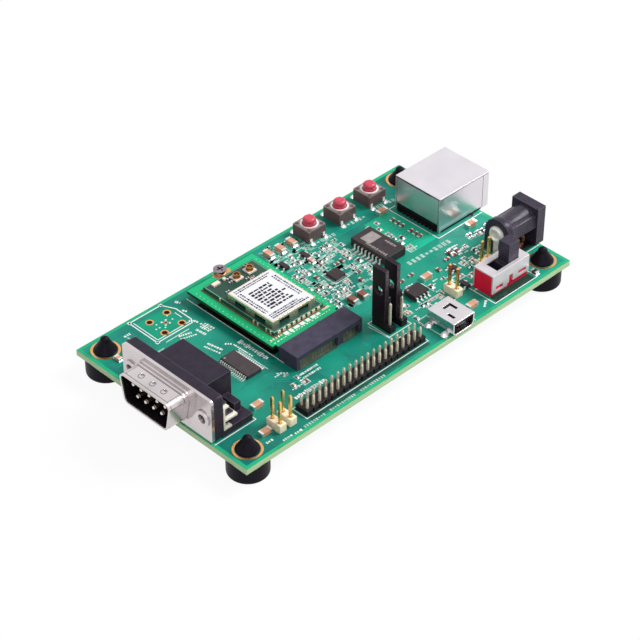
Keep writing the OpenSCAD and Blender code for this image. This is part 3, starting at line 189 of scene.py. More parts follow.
def board_material(name, dark, light, edge, edge_dark):
    """Solder mask on the faces and layered colours on the cut edges, which are bare fibreglass on the main
    board and near-black painted shade on the card.
    """
    material, tree, shader = new_material(name)
    patches = noise(tree, 0.055, 3.0)
    weave = noise(tree, 1.6, 2.0, (1, 0.35, 1))
    mask = ramp(tree, patches, [(0.36, dark), (0.66, light)])
    layers = noise(tree, 1.2, 2.0, (0.05, 0.05, 2.6))
    glass = ramp(tree, layers, [(0.35, edge_dark), (0.55, edge)])
    normal = add(tree, "NewGeometry").outputs["True Normal"]
    upward = add(tree, "SeparateXYZ", {"Vector": normal}).outputs["Z"]
    upright = add(tree, "Math", {0: upward}, operation="ABSOLUTE").outputs[0]
    flat = add(tree, "Math", {0: upright, 1: 0.5}, operation="GREATER_THAN").outputs[0]
    mix = add(tree, "Mix", {"Factor": flat, "A": glass, "B": mask}, data_type="RGBA")
    fill(shader, {"Base Color": mix.outputs["Result"], "Roughness": span_value(tree, weave, 0.26, 0.4),
                  "Specular IOR Level": 0.14, "Normal": bump(tree, weave, 0.004)})
    return material


mask = board_material("board_mask", dark=(0.006, 0.165, 0.13), light=(0.014, 0.3, 0.205),
                      edge=(0.4, 0.57, 0.32), edge_dark=(0.34, 0.45, 0.25))
# The card's cut edges are near-black: painted shade, as they face away from the key light
card_mask = board_material("card_mask", dark=(0.006, 0.38, 0.15), light=(0.012, 0.5, 0.21),
                           edge=(0.012, 0.075, 0.03), edge_dark=(0.008, 0.05, 0.02))
radio_mask = board_material("radio_mask", dark=(0.012, 0.06, 0.045), light=(0.04, 0.09, 0.065),
                            edge=(0.02, 0.11, 0.06), edge_dark=(0.012, 0.07, 0.04))

coated = partial(surface, grain=1.0, specular=0.12)
pour_mask = coated("copper_pour", (0.012, 0.45, 0.27), 0.32, vary=0.1, relief=0.003)
edge_mask = coated("edge_band", (0.018, 0.4, 0.2), 0.32, vary=0.1, relief=0.003)
foot_mask = coated("footprint_pour", (0.006, 0.29, 0.175), 0.32, relief=0.003)
trace_mask = coated("traces", (0.01, 0.36, 0.25), 0.3, vary=0.15)
# Near-black mask for painted shade in front of the switch and under the power jack
bare_mask = coated("bare_mask", (0.012, 0.045, 0.032), 0.36, vary=0.25, specular=0.15)
strip_mask = coated("strip_mask", (0.012, 0.095, 0.066), 0.36, vary=0.25, specular=0.15)
pale_mask = coated("pale_pads", (0.2, 0.44, 0.36), 0.4, vary=0.15, specular=0.15)
ink = surface("silkscreen_ink", (0.78, 0.84, 0.8), 0.6, vary=0.08, grain=4.0, relief=0.004)
faint_ink = surface("faint_ink", (0.4, 0.58, 0.5), 0.6, grain=4.0, relief=0.003)
rust = surface("flux_line", (0.24, 0.06, 0.035), 0.5, vary=0.25, grain=3.0, specular=0.2)
print_grey = surface("label_ink", (0.012, 0.012, 0.02), 0.6, vary=0.2, grain=6.0, specular=0.2)
label = surface("label_film", (0.8, 0.8, 0.84), 0.45, vary=0.03, grain=1.5, relief=0.002)

moulded = partial(surface, vary=0.2, grain=3.0, relief=0.006)
# edge= gives these plastics paler edges: painted highlights where the rounded edges catch the key light
black = moulded("black_plastic", (0.028, 0.021, 0.036), 0.36, specular=0.12, edge=0.12)
jack_black = moulded("jack_plastic", (0.04, 0.032, 0.053), 0.27, spread=0.05, relief=0.003, specular=0.16,
                     edge=0.1)
jet = moulded("jet_plastic", (0.008, 0.005, 0.008), 0.4, specular=0.2)
jumper_black = moulded("jumper_plastic", (0.013, 0.005, 0.011), 0.4, specular=0.2, edge=0.07)
# Near-black for painted shade: under the card and inside the serial shell
dark_liner = moulded("dark_liner", (0.006, 0.004, 0.004), 0.6, relief=0.0, specular=0.1)
socket_black = moulded("socket_plastic", (0.058, 0.052, 0.084), 0.42, specular=0.1, edge=0.05)
rubber = surface("black_rubber", (0.008, 0.006, 0.011), 0.42, vary=0.2, relief=0.01, specular=0.08)
red = surface("red_plastic", (0.72, 0.004, 0.042), 0.42, relief=0.005, specular=0.2)
cap_red = surface("button_plastic", (0.58, 0.045, 0.085), 0.36, vary=0.08, relief=0.004)
brown = surface("button_housing", (0.135, 0.086, 0.086), 0.5, vary=0.2, grain=2.5, relief=0.008,
                specular=0.3)
cream = surface("cream_plastic", (0.88, 0.78, 0.57), 0.45, vary=0.06, relief=0.005)
white_base = surface("white_plastic", (0.8, 0.74, 0.64), 0.4, vary=0.06)

epoxy = surface("chip_epoxy", (0.03, 0.02, 0.024), 0.5, vary=0.25, grain=4.0, relief=0.008, specular=0.3)
driver_epoxy = surface("driver_epoxy", (0.048, 0.036, 0.042), 0.5, vary=0.2, grain=4.0, relief=0.008,
                       specular=0.3)
tan = surface("tan_ceramic", (0.66, 0.32, 0.2), 0.4, vary=0.15, grain=3.0)
brown_clay = surface("brown_ceramic", (0.2, 0.06, 0.035), 0.4, vary=0.2, grain=3.0)
grey_clay = surface("grey_ceramic", (0.3, 0.27, 0.26), 0.45, vary=0.2, grain=3.0)
cream_chip = surface("cream_chip", (0.86, 0.72, 0.6), 0.4, vary=0.06)

shield = surface("bright_shield", (0.76, 0.72, 0.77), 0.3, metal=1.0, vary=0.04, grain=0.9, spread=0.02)
nickel = surface("nickel_shell", (0.62, 0.57, 0.58), 0.2, metal=0.86, vary=0.1, grain=0.7, spread=0.05)
usb_tin = surface("usb_shell", (0.71, 0.68, 0.71), 0.24, metal=1.0, vary=0.08, grain=0.8, spread=0.06)
frame_tin = surface("frame_tin", (0.62, 0.58, 0.61), 0.42, metal=0.4, vary=0.06, grain=2.5, relief=0.003)
cover_metal = surface("button_cover", (0.3, 0.25, 0.245), 0.42, metal=0.6, vary=0.2, grain=2.5)
dark_nickel = surface("dark_nickel", (0.2, 0.18, 0.18), 0.3, metal=0.8, vary=0.15)
can_tin = surface("can_tin", (0.84, 0.7, 0.55), 0.3, metal=0.9, spread=0.1)

plated = partial(surface, metal=1.0, grain=3.0)
lead_tin = plated("lead_tin", (0.94, 0.92, 0.88), 0.34, metal=0.35, vary=0.1, spread=0.1)
lock_metal = plated("lock_metal", (0.92, 0.86, 0.74), 0.34, metal=0.35, vary=0.1, spread=0.1)
tin = plated("tin", (0.8, 0.78, 0.75), 0.3, vary=0.1, spread=0.1)
solder = plated("solder", (0.82, 0.82, 0.82), 0.26, metal=0.85, vary=0.08, spread=0.1)
gold = plated("gold_plate", (0.86, 0.56, 0.2), 0.26, vary=0.1)
ring_gold = plated("ring_gold", (0.8, 0.42, 0.16), 0.3)
pale_gold = plated("pale_gold", (0.84, 0.74, 0.58), 0.28, metal=0.5)
dark_gold = plated("dark_gold", (0.42, 0.2, 0.07), 0.34, metal=0.9, vary=0.2)
bronze = plated("bronze_spring", (0.24, 0.1, 0.045), 0.36, metal=0.8, vary=0.2)
hole_brown = plated("hole_plating", (0.16, 0.05, 0.02), 0.4, metal=0.7, vary=0.2)
contact_metal = plated("contact_metal", (0.3, 0.31, 0.25), 0.35, metal=0.8, vary=0.15)
screw_metal = plated("screw_metal", (0.32, 0.26, 0.3), 0.32, vary=0.15)


def dress(material, *names, edge=0.0):
    """Gives CAD nodes a material and, where asked, softly rounded edges (edge in millimetres)."""
    for name in names:
        piece = nodes[name]
        piece.data.materials.clear()
        piece.data.materials.append(material)
        if edge:
            weld = piece.modifiers.new("weld", "WELD")
            weld.merge_threshold = 0.001 * MM
            bevel = piece.modifiers.new("bevel", "BEVEL")
            bevel.width = edge * MM
            bevel.segments = 2
            bevel.limit_method = "ANGLE"
            bevel.angle_limit = math.radians(40)
            bevel.harden_normals = True


dress(mask, "main_board")
dress(card_mask, "card_board")
dress(radio_mask, "radio_board")
dress(ring_gold, "hole_rings")
dress(gold, "ethernet_contacts", "usb_contacts", "link_header_pins")
dress(pale_gold, "pin_header_pins", "jumper_header_pins")
dress(bronze, "serial_pins")
dress(dark_gold, "antenna_sockets")
dress(contact_metal, "card_socket_contacts", "card_spacer")
dress(rubber, "rubber_feet")
dress(nickel, "serial_shell", edge=0.15)
dress(nickel, "serial_inserts", edge=0.06)
dress(usb_tin, "usb_shell", edge=0.06)
dress(frame_tin, "switch_frame", edge=0.06)
dress(shield, "ethernet_shield", edge=0.12)
dress(tin, "power_jack_leaf", "switch_terminals", "button_domes", "jumper_clip_1", "jumper_clip_2")
dress(lead_tin, "chip_leads", "power_jack_pin", "button_leads")
dress(lock_metal, "serial_board_locks")
dress(cover_metal, "button_covers")
dress(solder, "capacitor_ends", "resistor_ends")
dress(black, "serial_housing", edge=0.15)
dress(jack_black, "power_jack_housing", "switch_lever", edge=0.15)
dress(jet, "ethernet_housing", "usb_insert", "pin_header_strip", "jumper_header_strips", edge=0.08)
dress(jumper_black, "jumper_1", "jumper_2", edge=0.2)
dress(socket_black, "card_socket", edge=0.12)
dress(red, "switch_base", edge=0.1)
dress(cap_red, *BUTTONS)
dress(brown, "button_housings", edge=0.1)
dress(screw_metal, "card_screw", edge=0.12)
dress(can_tin, "radio_can", edge=0.04)
dress(label, "radio_label")
dress(white_base, "antenna_bases", edge=0.06)
dress(cream, "link_header_strips", edge=0.2)
dress(epoxy, "network_transformer", edge=0.25)
dress(epoxy, "regulator_chip", "bridge_chip", "transistors", edge=0.08)
dress(driver_epoxy, "serial_driver", edge=0.06)
dress(tan, "capacitor_bodies")
dress(brown_clay, "resistor_bodies")


# Pieces added to the solids


def beside(path, shift, closed=False):
    """A path moved sideways to its left, with mitred corners."""
    spots = [Vector(p) for p in path]
    count = len(spots)
    moved = []
    for i, spot in enumerate(spots):
        ways = []
        if closed or i:
            ways.append((spot - spots[i - 1]).normalized())
        if closed or i < count - 1:
            ways.append((spots[(i + 1) % count] - spot).normalized())
        sides = [Vector((-w.y, w.x)) for w in ways]
        side = sum(sides, Vector((0, 0))).normalized()
        moved.append(tuple(spot + side * shift / max(0.4, side.dot(sides[0]))))
    return moved


def circle(x, y, r, sides):
    """Points round a circle."""
    turns = [2 * math.pi * i / sides for i in range(sides)]
    return [(x + r * math.cos(t), y + r * math.sin(t)) for t in turns]


class Piece:
    """Collects closed solids in board millimetres. Each piece becomes one object on the board."""

    every = []

    def __init__(self, name, material, slot="board_green"):
        self.name = name
        self.material = material
        self.slot = slot
        self.points = []
        self.faces = []
        Piece.every.append(self)

    def skin(self, loops, closed=False):
        """Faces from each loop of points to the next."""
        first, count, total = len(self.points), len(loops[0]), len(loops)
        for loop in loops:
            self.points += [place(*p) for p in loop]
        for k in range(total if closed else total - 1):
            a, b = first + k * count, first + (k + 1) % total * count
            for i in range(count):
                j = (i + 1) % count
                self.faces.append((a + i, a + j, b + j, b + i))

    def loft(self, loops):
        """A closed solid through loops of points, capped at both ends."""
        first, count = len(self.points), len(loops[0])
        self.skin(loops)
        last = len(self.points) - count
        self.faces.append(tuple(reversed(range(first, first + count))))
        self.faces.append(tuple(range(last, last + count)))

    def prism(self, outline, z0, z1, top=None):
        """An upright prism over an outline, drawn to a second outline at its top where one is given."""
        self.loft([[(x, y, z0) for x, y in outline], [(x, y, z1) for x, y in top or outline]])

    def box(self, x, y, w, d, z0, z1, turn=0.0):
        """A box on a middle point, turned about z by an angle in degrees."""
        c, s = math.cos(math.radians(turn)), math.sin(math.radians(turn))
        corners = [(-w / 2, -d / 2), (w / 2, -d / 2), (w / 2, d / 2), (-w / 2, d / 2)]
        self.prism([(x + c * u - s * v, y + s * u + c * v) for u, v in corners], z0, z1)

    def post(self, x, y, r, z0, z1, r_top=None, sides=14):
        """A round post, tapered where a top radius is given."""
        top = r if r_top is None else r_top
        self.prism(circle(x, y, r, sides), z0, z1, circle(x, y, top, sides))

    def band(self, outer, inner):
        """A closed ring with a four-sided section between pairs of matching loops, low to high."""
        self.skin([*outer, *reversed(inner)], closed=True)

    def ring(self, x, y, r0, r1, z0, z1, sides=20):
        """A flat ring."""
        def loop(r, z):
            return [(u, v, z) for u, v in circle(x, y, r, sides)]

        self.band([loop(r1, z0), loop(r1, z1)], [loop(r0, z0), loop(r0, z1)])

    def stroke(self, path, width, z0, z1, closed=False):
        """A flat line of even width along a path, with mitred corners."""
        left, right = beside(path, width / 2, closed), beside(path, -width / 2, closed)
        count = len(left)
        for i in range(count if closed else count - 1):
            j = (i + 1) % count
            self.prism([right[i], right[j], left[j], left[i]], z0, z1)

    def wire(self, path, r, sides=8):
        """A round wire along points in space."""
        spots = [Vector(p) for p in path]
        turns = [2 * math.pi * k / sides for k in range(sides)]
        loops = []
        for i, spot in enumerate(spots):
            way = (spots[min(i + 1, len(spots) - 1)] - spots[max(i - 1, 0)]).normalized()
            across = way.cross(Vector((0, 0, 1)) if abs(way.z) < 0.9 else Vector((1, 0, 0))).normalized()
            over = across.cross(way)
            loops.append([tuple(spot + across * r * math.cos(t) + over * r * math.sin(t)) for t in turns])
        self.loft(loops)

    def make(self):
        """Makes the object."""
        mesh = bpy.data.meshes.new(self.name)
        mesh.from_pydata(self.points, [], self.faces)
        mesh.materials.append(self.material)
        shape = bmesh.new()
        shape.from_mesh(mesh)
        bmesh.ops.recalc_face_normals(shape, faces=shape.faces)
        shape.to_mesh(mesh)
        shape.free()
        piece = put(self.name, mesh)
        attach(piece, "board")


# Low and high levels over the board's face, and widths of printed lines
INK = (0.012, 0.03)
COPPER = (0.001, 0.012)
POUR = (0.001, 0.0084)
LINE, BOLD = 0.18, 0.24


def box_path(x0, x1, y0, y1):
    """The corners of a rectangle."""
    return [(x0, y0), (x1, y0), (x1, y1), (x0, y1)]


def around(node, left, right, front, back):
    """The corners of a rectangle round a CAD node, with four margins."""
    low, high = span(node)
    return box_path(low.x - left, high.x + right, low.y - front, high.y + back)


def straight(start, end):
    """A straight line's start, length, way, left side and turn in degrees."""
    a, b = Vector(start), Vector(end)
    way = (b - a).normalized()
    return a, (b - a).length, way, Vector((-way.y, way.x)), math.degrees(math.atan2(way.y, way.x))


def dashes(piece, start, end, height, z=INK, *, seed, gap=0.22, rows=1, longs=(0.2, 0.62)):
    """Generic printed marks: rows of short bars between two points, of a range of lengths."""
    draw = random.Random(seed)
    a, length, way, side, turn = straight(start, end)
    for row in range(rows):
        along = 0.0
        level = side * (row * height * 1.7)
        while along < length - 0.3:
            long = draw.uniform(*longs)
            spot = a + way * (along + long / 2) + level
            tall = height * draw.uniform(0.5, 1.0)
            piece.box(spot.x, spot.y, long, tall, *z, turn=turn)
            along += long + gap * draw.uniform(0.5, 1.4)


def marks_row(piece, start, end, height, seed):
    """Generic printed marks: a row of single, paired and split blocks."""
    draw = random.Random(seed)
    a, length, way, side, turn = straight(start, end)
    shapes = [[(0, 0, 0.5, 0.84)], [(-0.16, 0, 0.2, 0.84), (0.16, 0, 0.2, 0.84)],
              [(0, 0.26, 0.5, 0.32), (0, -0.18, 0.5, 0.44)], [(0, 0, 0.5, 0.4)]]
    for i in range(int(length / height / 0.85)):
        spot = a + way * (i + 0.5) * height * 0.85
        for u, v, w, d in draw.choice(shapes):
            at = spot + (way * u + side * v) * height
            piece.box(at.x, at.y, w * height, d * height, *INK, turn=turn)


def outlines(piece):
    """Printed outlines of the larger parts."""
    rim_x, rim_y = HALF_L - 0.3, HALF_W - 0.3

    def line(path, width=LINE, closed=False):
        piece.stroke(path, width, *INK, closed)

    low, high = span("ethernet_shield")
    line([(rim_x, high.y + 0.9), (low.x - 1.4, high.y + 0.9), (low.x - 1.4, low.y - 1.3),
          (rim_x, low.y - 1.3)], BOLD)
    low, high = span("power_jack_housing")
    line([(rim_x, high.y + 0.5), (low.x - 0.9, high.y + 0.5), (low.x - 0.9, high.y - 4)])
    line([(low.x + 1.2, low.y - 0.4), (rim_x, low.y - 0.4)], BOLD)
    line(around("switch_frame", 1.1, 1.0, 2.1, 0.5), BOLD, True)
    line(around("pin_header_strip", 0.4, 0.5, 0.4, 0.5), 0.22, True)
    line(around("jumper_header_strips", 0.8, 0.8, 0.6, 0.6), 0.22, True)
    low, high = span("card_board")
    line([(low.x + 0.3, high.y + 0.7), (low.x + 0.3, low.y + 0.6)], BOLD)
    line([(high.x + 0.8, high.y + 0.7), (high.x + 0.8, low.y + 4)], BOLD)
    low, high = span("serial_housing")
    line(box_path(0.6 - HALF_L, high.x + 0.5, low.y - 0.5, high.y + 0.5), BOLD)
    low, high = span("usb_shell")
    line([(low.x - 0.6, -rim_y), (low.x - 0.6, high.y + 1.7), (high.x + 0.6, high.y + 1.7),
          (high.x + 0.6, -rim_y)])
    for name in ("serial_driver", "network_transformer", "regulator_chip"):
        low, high = span(name)
        piece.post(low.x - 2.2, high.y, 0.3, *INK)
        line([(high.x + 1.7, high.y + 0.3), (high.x + 1.7, low.y - 0.3)])
    low, high = span("jumper_header_strips")
    line([(low.x - 1.6, high.y - 0.4), (low.x - 1.0, low.y - 1.2)])


def footprint(piece):
    """The printed double outline of the empty antenna footprint."""
    x0, x1, y0, y1 = -40.3, -28.3, 18.3, 28.8

    def outline(inset):
        left, right, front, back = x0 + inset, x1 - inset, y0 + inset, y1 - inset
        return [(left, front), (x1 - 0.8, front), (right, y0 + 1.3), (right, y1 - 3.6), (x1 - 1.8, back),
                (left, back)]

    inner = outline(0.75)
    piece.stroke(outline(0), 0.32, *INK, True)
    piece.stroke(inner[:3], BOLD, *INK)
    piece.stroke([inner[0], inner[5]], BOLD, *INK)
    piece.stroke([(x1 - 1.2, y0 + 3.4), (x1 - 1.2, y1 - 4.6)], BOLD, *INK)
    for x, y in ((x0, y0), (x0, y1), (x1 - 1.8, y1)):
        piece.box(x, y, 0.9, 0.9, *INK)
    piece.stroke([(x0 + 1.6, y0 - 1.3), (x1 - 3, y0 - 1.3)], 0.2, *INK)


def printed_marks(piece):
    """Generic rows of bars where the board carries small print."""
    rows = [
        ((-25.8, 5.0), (-25.4, -4.8), 1.5), ((-27.6, 5.0), (-27.4, -2.0), 0.6),
        ((-33.2, 9.4), (-32.2, 4.8), 0.8, 2), ((-30.2, 15.6), (-29.8, 12.2), 0.9, 3),
        ((-27.9, 16.6), (-27.7, 12.6), 0.8), ((-35.4, 15.4), (-31.6, 14.2), 0.7, 2),
        ((-31.0, -19.9), (-21.2, -19.9), 1.4), ((-24.4, -15.9), (-18.6, -15.9), 0.8, 2),
        ((-29.3, -17.2), (-23.8, -17.2), 0.5), ((37.4, -5.2), (40.6, -5.4), 0.7),
        ((-43.2, -28.6), (-40.4, -28.6), 0.8), ((26.4, -27.6), (28.8, -26.0), 0.8),
        ((-27.8, -10.2), (-25.6, -12.0), 0.7), ((10.4, -23.6), (10.4, -20.4), 0.6),
        ((41.2, -9.6), (47.6, -9.6), 0.7), ((-26.6, 27.4), (-25.8, 25.6), 0.9),
        ((-27.6, 23.6), (-27.0, 22.2), 0.8), ((-28.4, 18.8), (-28.0, 17.4), 0.7),
        ((0.6, -21.4), (5.6, -21.4), 0.6), ((-47.0, 20.0), (-42.4, 20.0), 0.8),
        ((31.8, -21.4), (29.0, -21.4), 0.7), ((-29.0, 6.6), (-27.8, 5.4), 0.8),
        ((-44.6, 25.6), (-42.4, 25.6), 1.0), ((-39.6, -28.8), (-37.0, -28.8), 0.8),
        ((-46.6, -26.6), (-44.6, -26.6), 0.8),
    ]
    for i, (start, end, height, *count) in enumerate(rows):
        dashes(piece, start, end, height, seed=40 + i, rows=count[0] if count else 1)


def faint_rows():
    """Paler rows of blocks under the buttons, along the front edge and across the middle, and a line."""
    piece = Piece("faint_print", faint_ink, "label_white")
    rows = [((-36.6, -28.6), (-29.4, -28.6), 0.9), ((-28.2, -28.6), (-19.4, -28.6), 0.9),
            ((-18.2, -28.6), (-9.2, -28.6), 0.9), ((25.4, -2.3), (41.6, -3.0), 1.8)]
    for name in BUTTONS:
        low, high = span(name)
        rows.append(((low.x + 0.7, low.y - 1.9), (high.x + 3.4, low.y - 2.5), 1.5))
    for i, (start, end, height) in enumerate(rows):
        marks_row(piece, start, end, height, 20 + i)
    piece.stroke([(-44.2, 25.0), (-42.9, 15.6), (-40.6, 15.6)], 0.36, *INK)


def edge_band(name, levels):
    """The clear band along the board's edges, on one of its faces."""
    out_x, out_y, wide = HALF_L - 0.02, HALF_W - 0.02, 1.0

    def loop(inset, z):
        return [(x, y, z) for x, y in box_path(inset - out_x, out_x - inset, inset - out_y, out_y - inset)]

    Piece(name, edge_mask).band([loop(0, z) for z in levels], [loop(wide, z) for z in levels])


def bundle(piece, path, count, pitch, width=0.16, z=COPPER):
    """Traces side by side along a path."""
    for i in range(count):
        piece.stroke(beside(path, i * pitch), width, *z)


def copper():
    """Raised copper under the mask: pours, bundles of traces and the clear band; dark patches of painted
    shade in front of the switch and under the power jack; and a darker strip in front of the pin header.
    """
    edge_band("edge_band", (COPPER[0], COPPER[1] / 2))
    Piece("copper_pour", pour_mask).prism(box_path(29.6, 39, 0.2, 17.2), *POUR)
    pour = Piece("footprint_pour", foot_mask)
    # Strips from front to back, with the middles of the holes that they leave open
    for y0, y1, gaps in ((19.0, 19.25, ()), (19.25, 20.75, (-36.5, -30.9)), (20.75, 22.2, ()),
                         (22.2, 23.4, (-33.7,)), (23.4, 24.85, ()), (24.85, 26.35, (-36.5, -30.9)),
                         (26.35, 27.3, ())):
        ends = [-39.6, *(x + side * 0.75 for x in gaps for side in (-1, 1)), -29.8]
        for x0, x1 in zip(ends[::2], ends[1::2]):
            pour.prism(box_path(x0, x1, y0, y1), *POUR)
    # Painted shade: dark mask in front of the switch and under the power jack's barrel
    bare = Piece("bare_mask", bare_mask)
    low, high = span("switch_frame")
    bare.prism(box_path(low.x - 0.4, high.x + 0.2, low.y - 1.9, low.y + 0.4), *COPPER)
    low, high = span("power_jack_housing")
    bare.prism(box_path(low.x + 2, high.x - 2, low.y + 0.2, low.y + 2), *COPPER)
    low, high = span("pin_header_strip")
    strip = box_path(low.x, high.x, low.y - 1.6, low.y - 0.1)
    Piece("strip_mask", strip_mask).prism(strip, *COPPER)
    lines = Piece("traces", trace_mask)
    for path, count, pitch, *width in (
        ([(-42, 2), (-38, 2), (-35.6, -0.4)], 6, 0.5), ([(-41.8, -8), (-36.5, -8), (-35.8, -7.2)], 5, 0.5),
        ([(-28, -6), (-26.4, -7.6), (-26.4, -19), (-22, -21.6)], 5, 0.55),
        ([(-20, -14), (-20, -21)], 14, 0.6), ([(-10, -14), (-10, -18), (-8, -21)], 10, 0.6),
        ([(-44, 14.5), (-36, 14.5)], 4, 0.7),
        ([(10, -6), (20, -4), (40, -4.6), (44, -8)], 5, 0.6), ([(30, 1.4), (35, 1.4)], 8, 1.27, 0.3),
        ([(0.5, -8), (12, -8), (15, -9.6)], 6, 0.5), ([(12, 20), (20, 18.4), (33, 18.4)], 4, 0.6),
        ([(44, -22.5), (53, -22.5)], 2, 0.8), ([(-54, 18), (-43, 18), (-41.5, 19.5)], 3, 0.8),
        ([(-41, -12), (-30, -12), (-27.5, -14.5)], 6, 0.6), ([(-40.5, 8), (-36, 8), (-34.5, 6.5)], 6, 0.6),
        ([(8, -15), (11, -18), (11, -27)], 4, 0.6), ([(21, -24), (28, -24), (29.5, -22.5)], 4, 0.6),
        ([(46, -4), (54, -4)], 4, 0.7), ([(42, 19.5), (50, 19.5)], 4, 0.6),
        ([(-54, -26), (-44, -26)], 3, 0.7), ([(-48, 24), (-42, 24)], 4, 0.7),
    ):
        bundle(lines, path, count, pitch, *width)


def underside():
    """Traces, vias and the clear band below the board."""
    low, high = -BOARD_T - COPPER[1], -BOARD_T - COPPER[0]
    edge_band("under_band", (low / 2 + high / 2, high))
    lines = Piece("under_traces", trace_mask)
    for path, count, pitch in (
        ([(-30, -21.5), (-30, -10), (-24, -4), (-24, 12)], 8, 0.7),
        ([(-16, -21.5), (-16, -6), (-10, 0), (-10, 16)], 8, 0.7),
        ([(-2, -21.5), (-2, -14), (8, -4), (24, -4)], 6, 0.7),
        ([(-44, -6), (-38, -6), (-34, -2), (-34, 8)], 5, 0.7),
        ([(46, 4), (36, 4), (30, 10), (14, 10)], 8, 0.6),
        ([(20, -22), (34, -22), (40, -16), (40, -10)], 5, 0.7),
        ([(-20, 24), (20, 24), (26, 18), (40, 18)], 4, 0.8),
    ):
        bundle(lines, path, count, pitch, 0.2, (low, high))
    draw = random.Random(8)
    for _ in range(150):
        lines.ring(draw.uniform(-42, 44), draw.uniform(-20, 20), 0.16, 0.36, low, high, sides=10)


def pads_and_vias():
    """Tinned pads, the gilded holes of the empty footprint and small vias."""
    gilt = Piece("gilded_pads", ring_gold, "gold")
    lining = Piece("hole_lining", hole_brown, "gold")
    dots = Piece("vias", trace_mask)
    lands = Piece("lead_pads", solder, "tin")
    dull = Piece("driver_pads", pale_mask, "tin")
    mid_x, mid_y, hole_shift = -33.7, 22.8, 2.8
    gilt_z, land_z = (0.009, 0.03), (0.009, 0.035)
    for sx, sy in SIGNS:
        x, y = mid_x + sx * hole_shift, mid_y + sy * hole_shift
        gilt.ring(x, y, 0.76, 1.08, *gilt_z)
        lining.ring(x, y, 0.6, 0.75, -BOARD_T, 0.034)
        lands.post(mid_x + sx * 0.65, mid_y + sy * 0.75, 0.3, *land_z, sides=10)
    for x, y in ((-35.9, 23.7), (-36.1, 22.3), (-37.1, 22.4), (-31.6, 22.7), (-31.7, 24.6), (-35, 21.4)):
        lands.post(x, y, 0.24, *land_z, sides=10)
    gilt.ring(mid_x, mid_y, 0.36, 0.56, *gilt_z)
    draw = random.Random(5)
    for x0, x1, y0, y1, count in ((-27, 14, -22, -14.5, 34), (0, 20, -8, 16, 40), (-41, -26, -14, 16, 30),
                                  (29, 55, -12, 0, 26), (20, 50, -19, -6, 22)):
        for _ in range(count):
            dots.ring(draw.uniform(x0, x1), draw.uniform(y0, y1), 0.13, 0.28, 0.002, 0.016, sides=10)
    reach = 1.5
    rows = [("serial_driver", 14, 0.65, 0.42, dull), ("network_transformer", 8, 1.27, 0.75, lands)]
    for name, count, pitch, wide, pads in rows:
        low, high = span(name)
        x, y = middle(name)
        half = (high.x - low.x + reach) / 2 + 0.2
        for side in (-1, 1):
            for i in range(count):
                pads.box(x + side * half, y + (i - (count - 1) / 2) * pitch, reach, wide, 0.004, 0.05)


def taken_places():
    """Stretches of the board under the larger parts and their legs: x from, x to, y from, y to."""
    taken = []
    for name in ("bridge_chip", "network_transformer", "regulator_chip", "card_board", "card_socket",
                 "jumper_header_strips", "usb_shell", "switch_frame", "ethernet_shield",
                 "pin_header_strip"):
        low, high = span(name)
        taken.append((low.x - 1.5, high.x + 1.5, low.y - 0.9, high.y + 0.9))
    for name in BUTTONS:
        low, high = span(name)
        taken.append((low.x - 1.6, high.x + 1.6, low.y - 3.6, high.y + 2.8))
    for name in ("transistors", "capacitor_ends", "resistor_ends", "link_header_pins"):
        spots = [(v.co - MIDDLE) / MM for v in nodes[name].data.vertices]
        for x, y in sorted({(round(s.x), round(s.y)) for s in spots}):
            taken.append((x - 1.3, x + 1.3, y - 1.2, y + 1.2))
    return taken


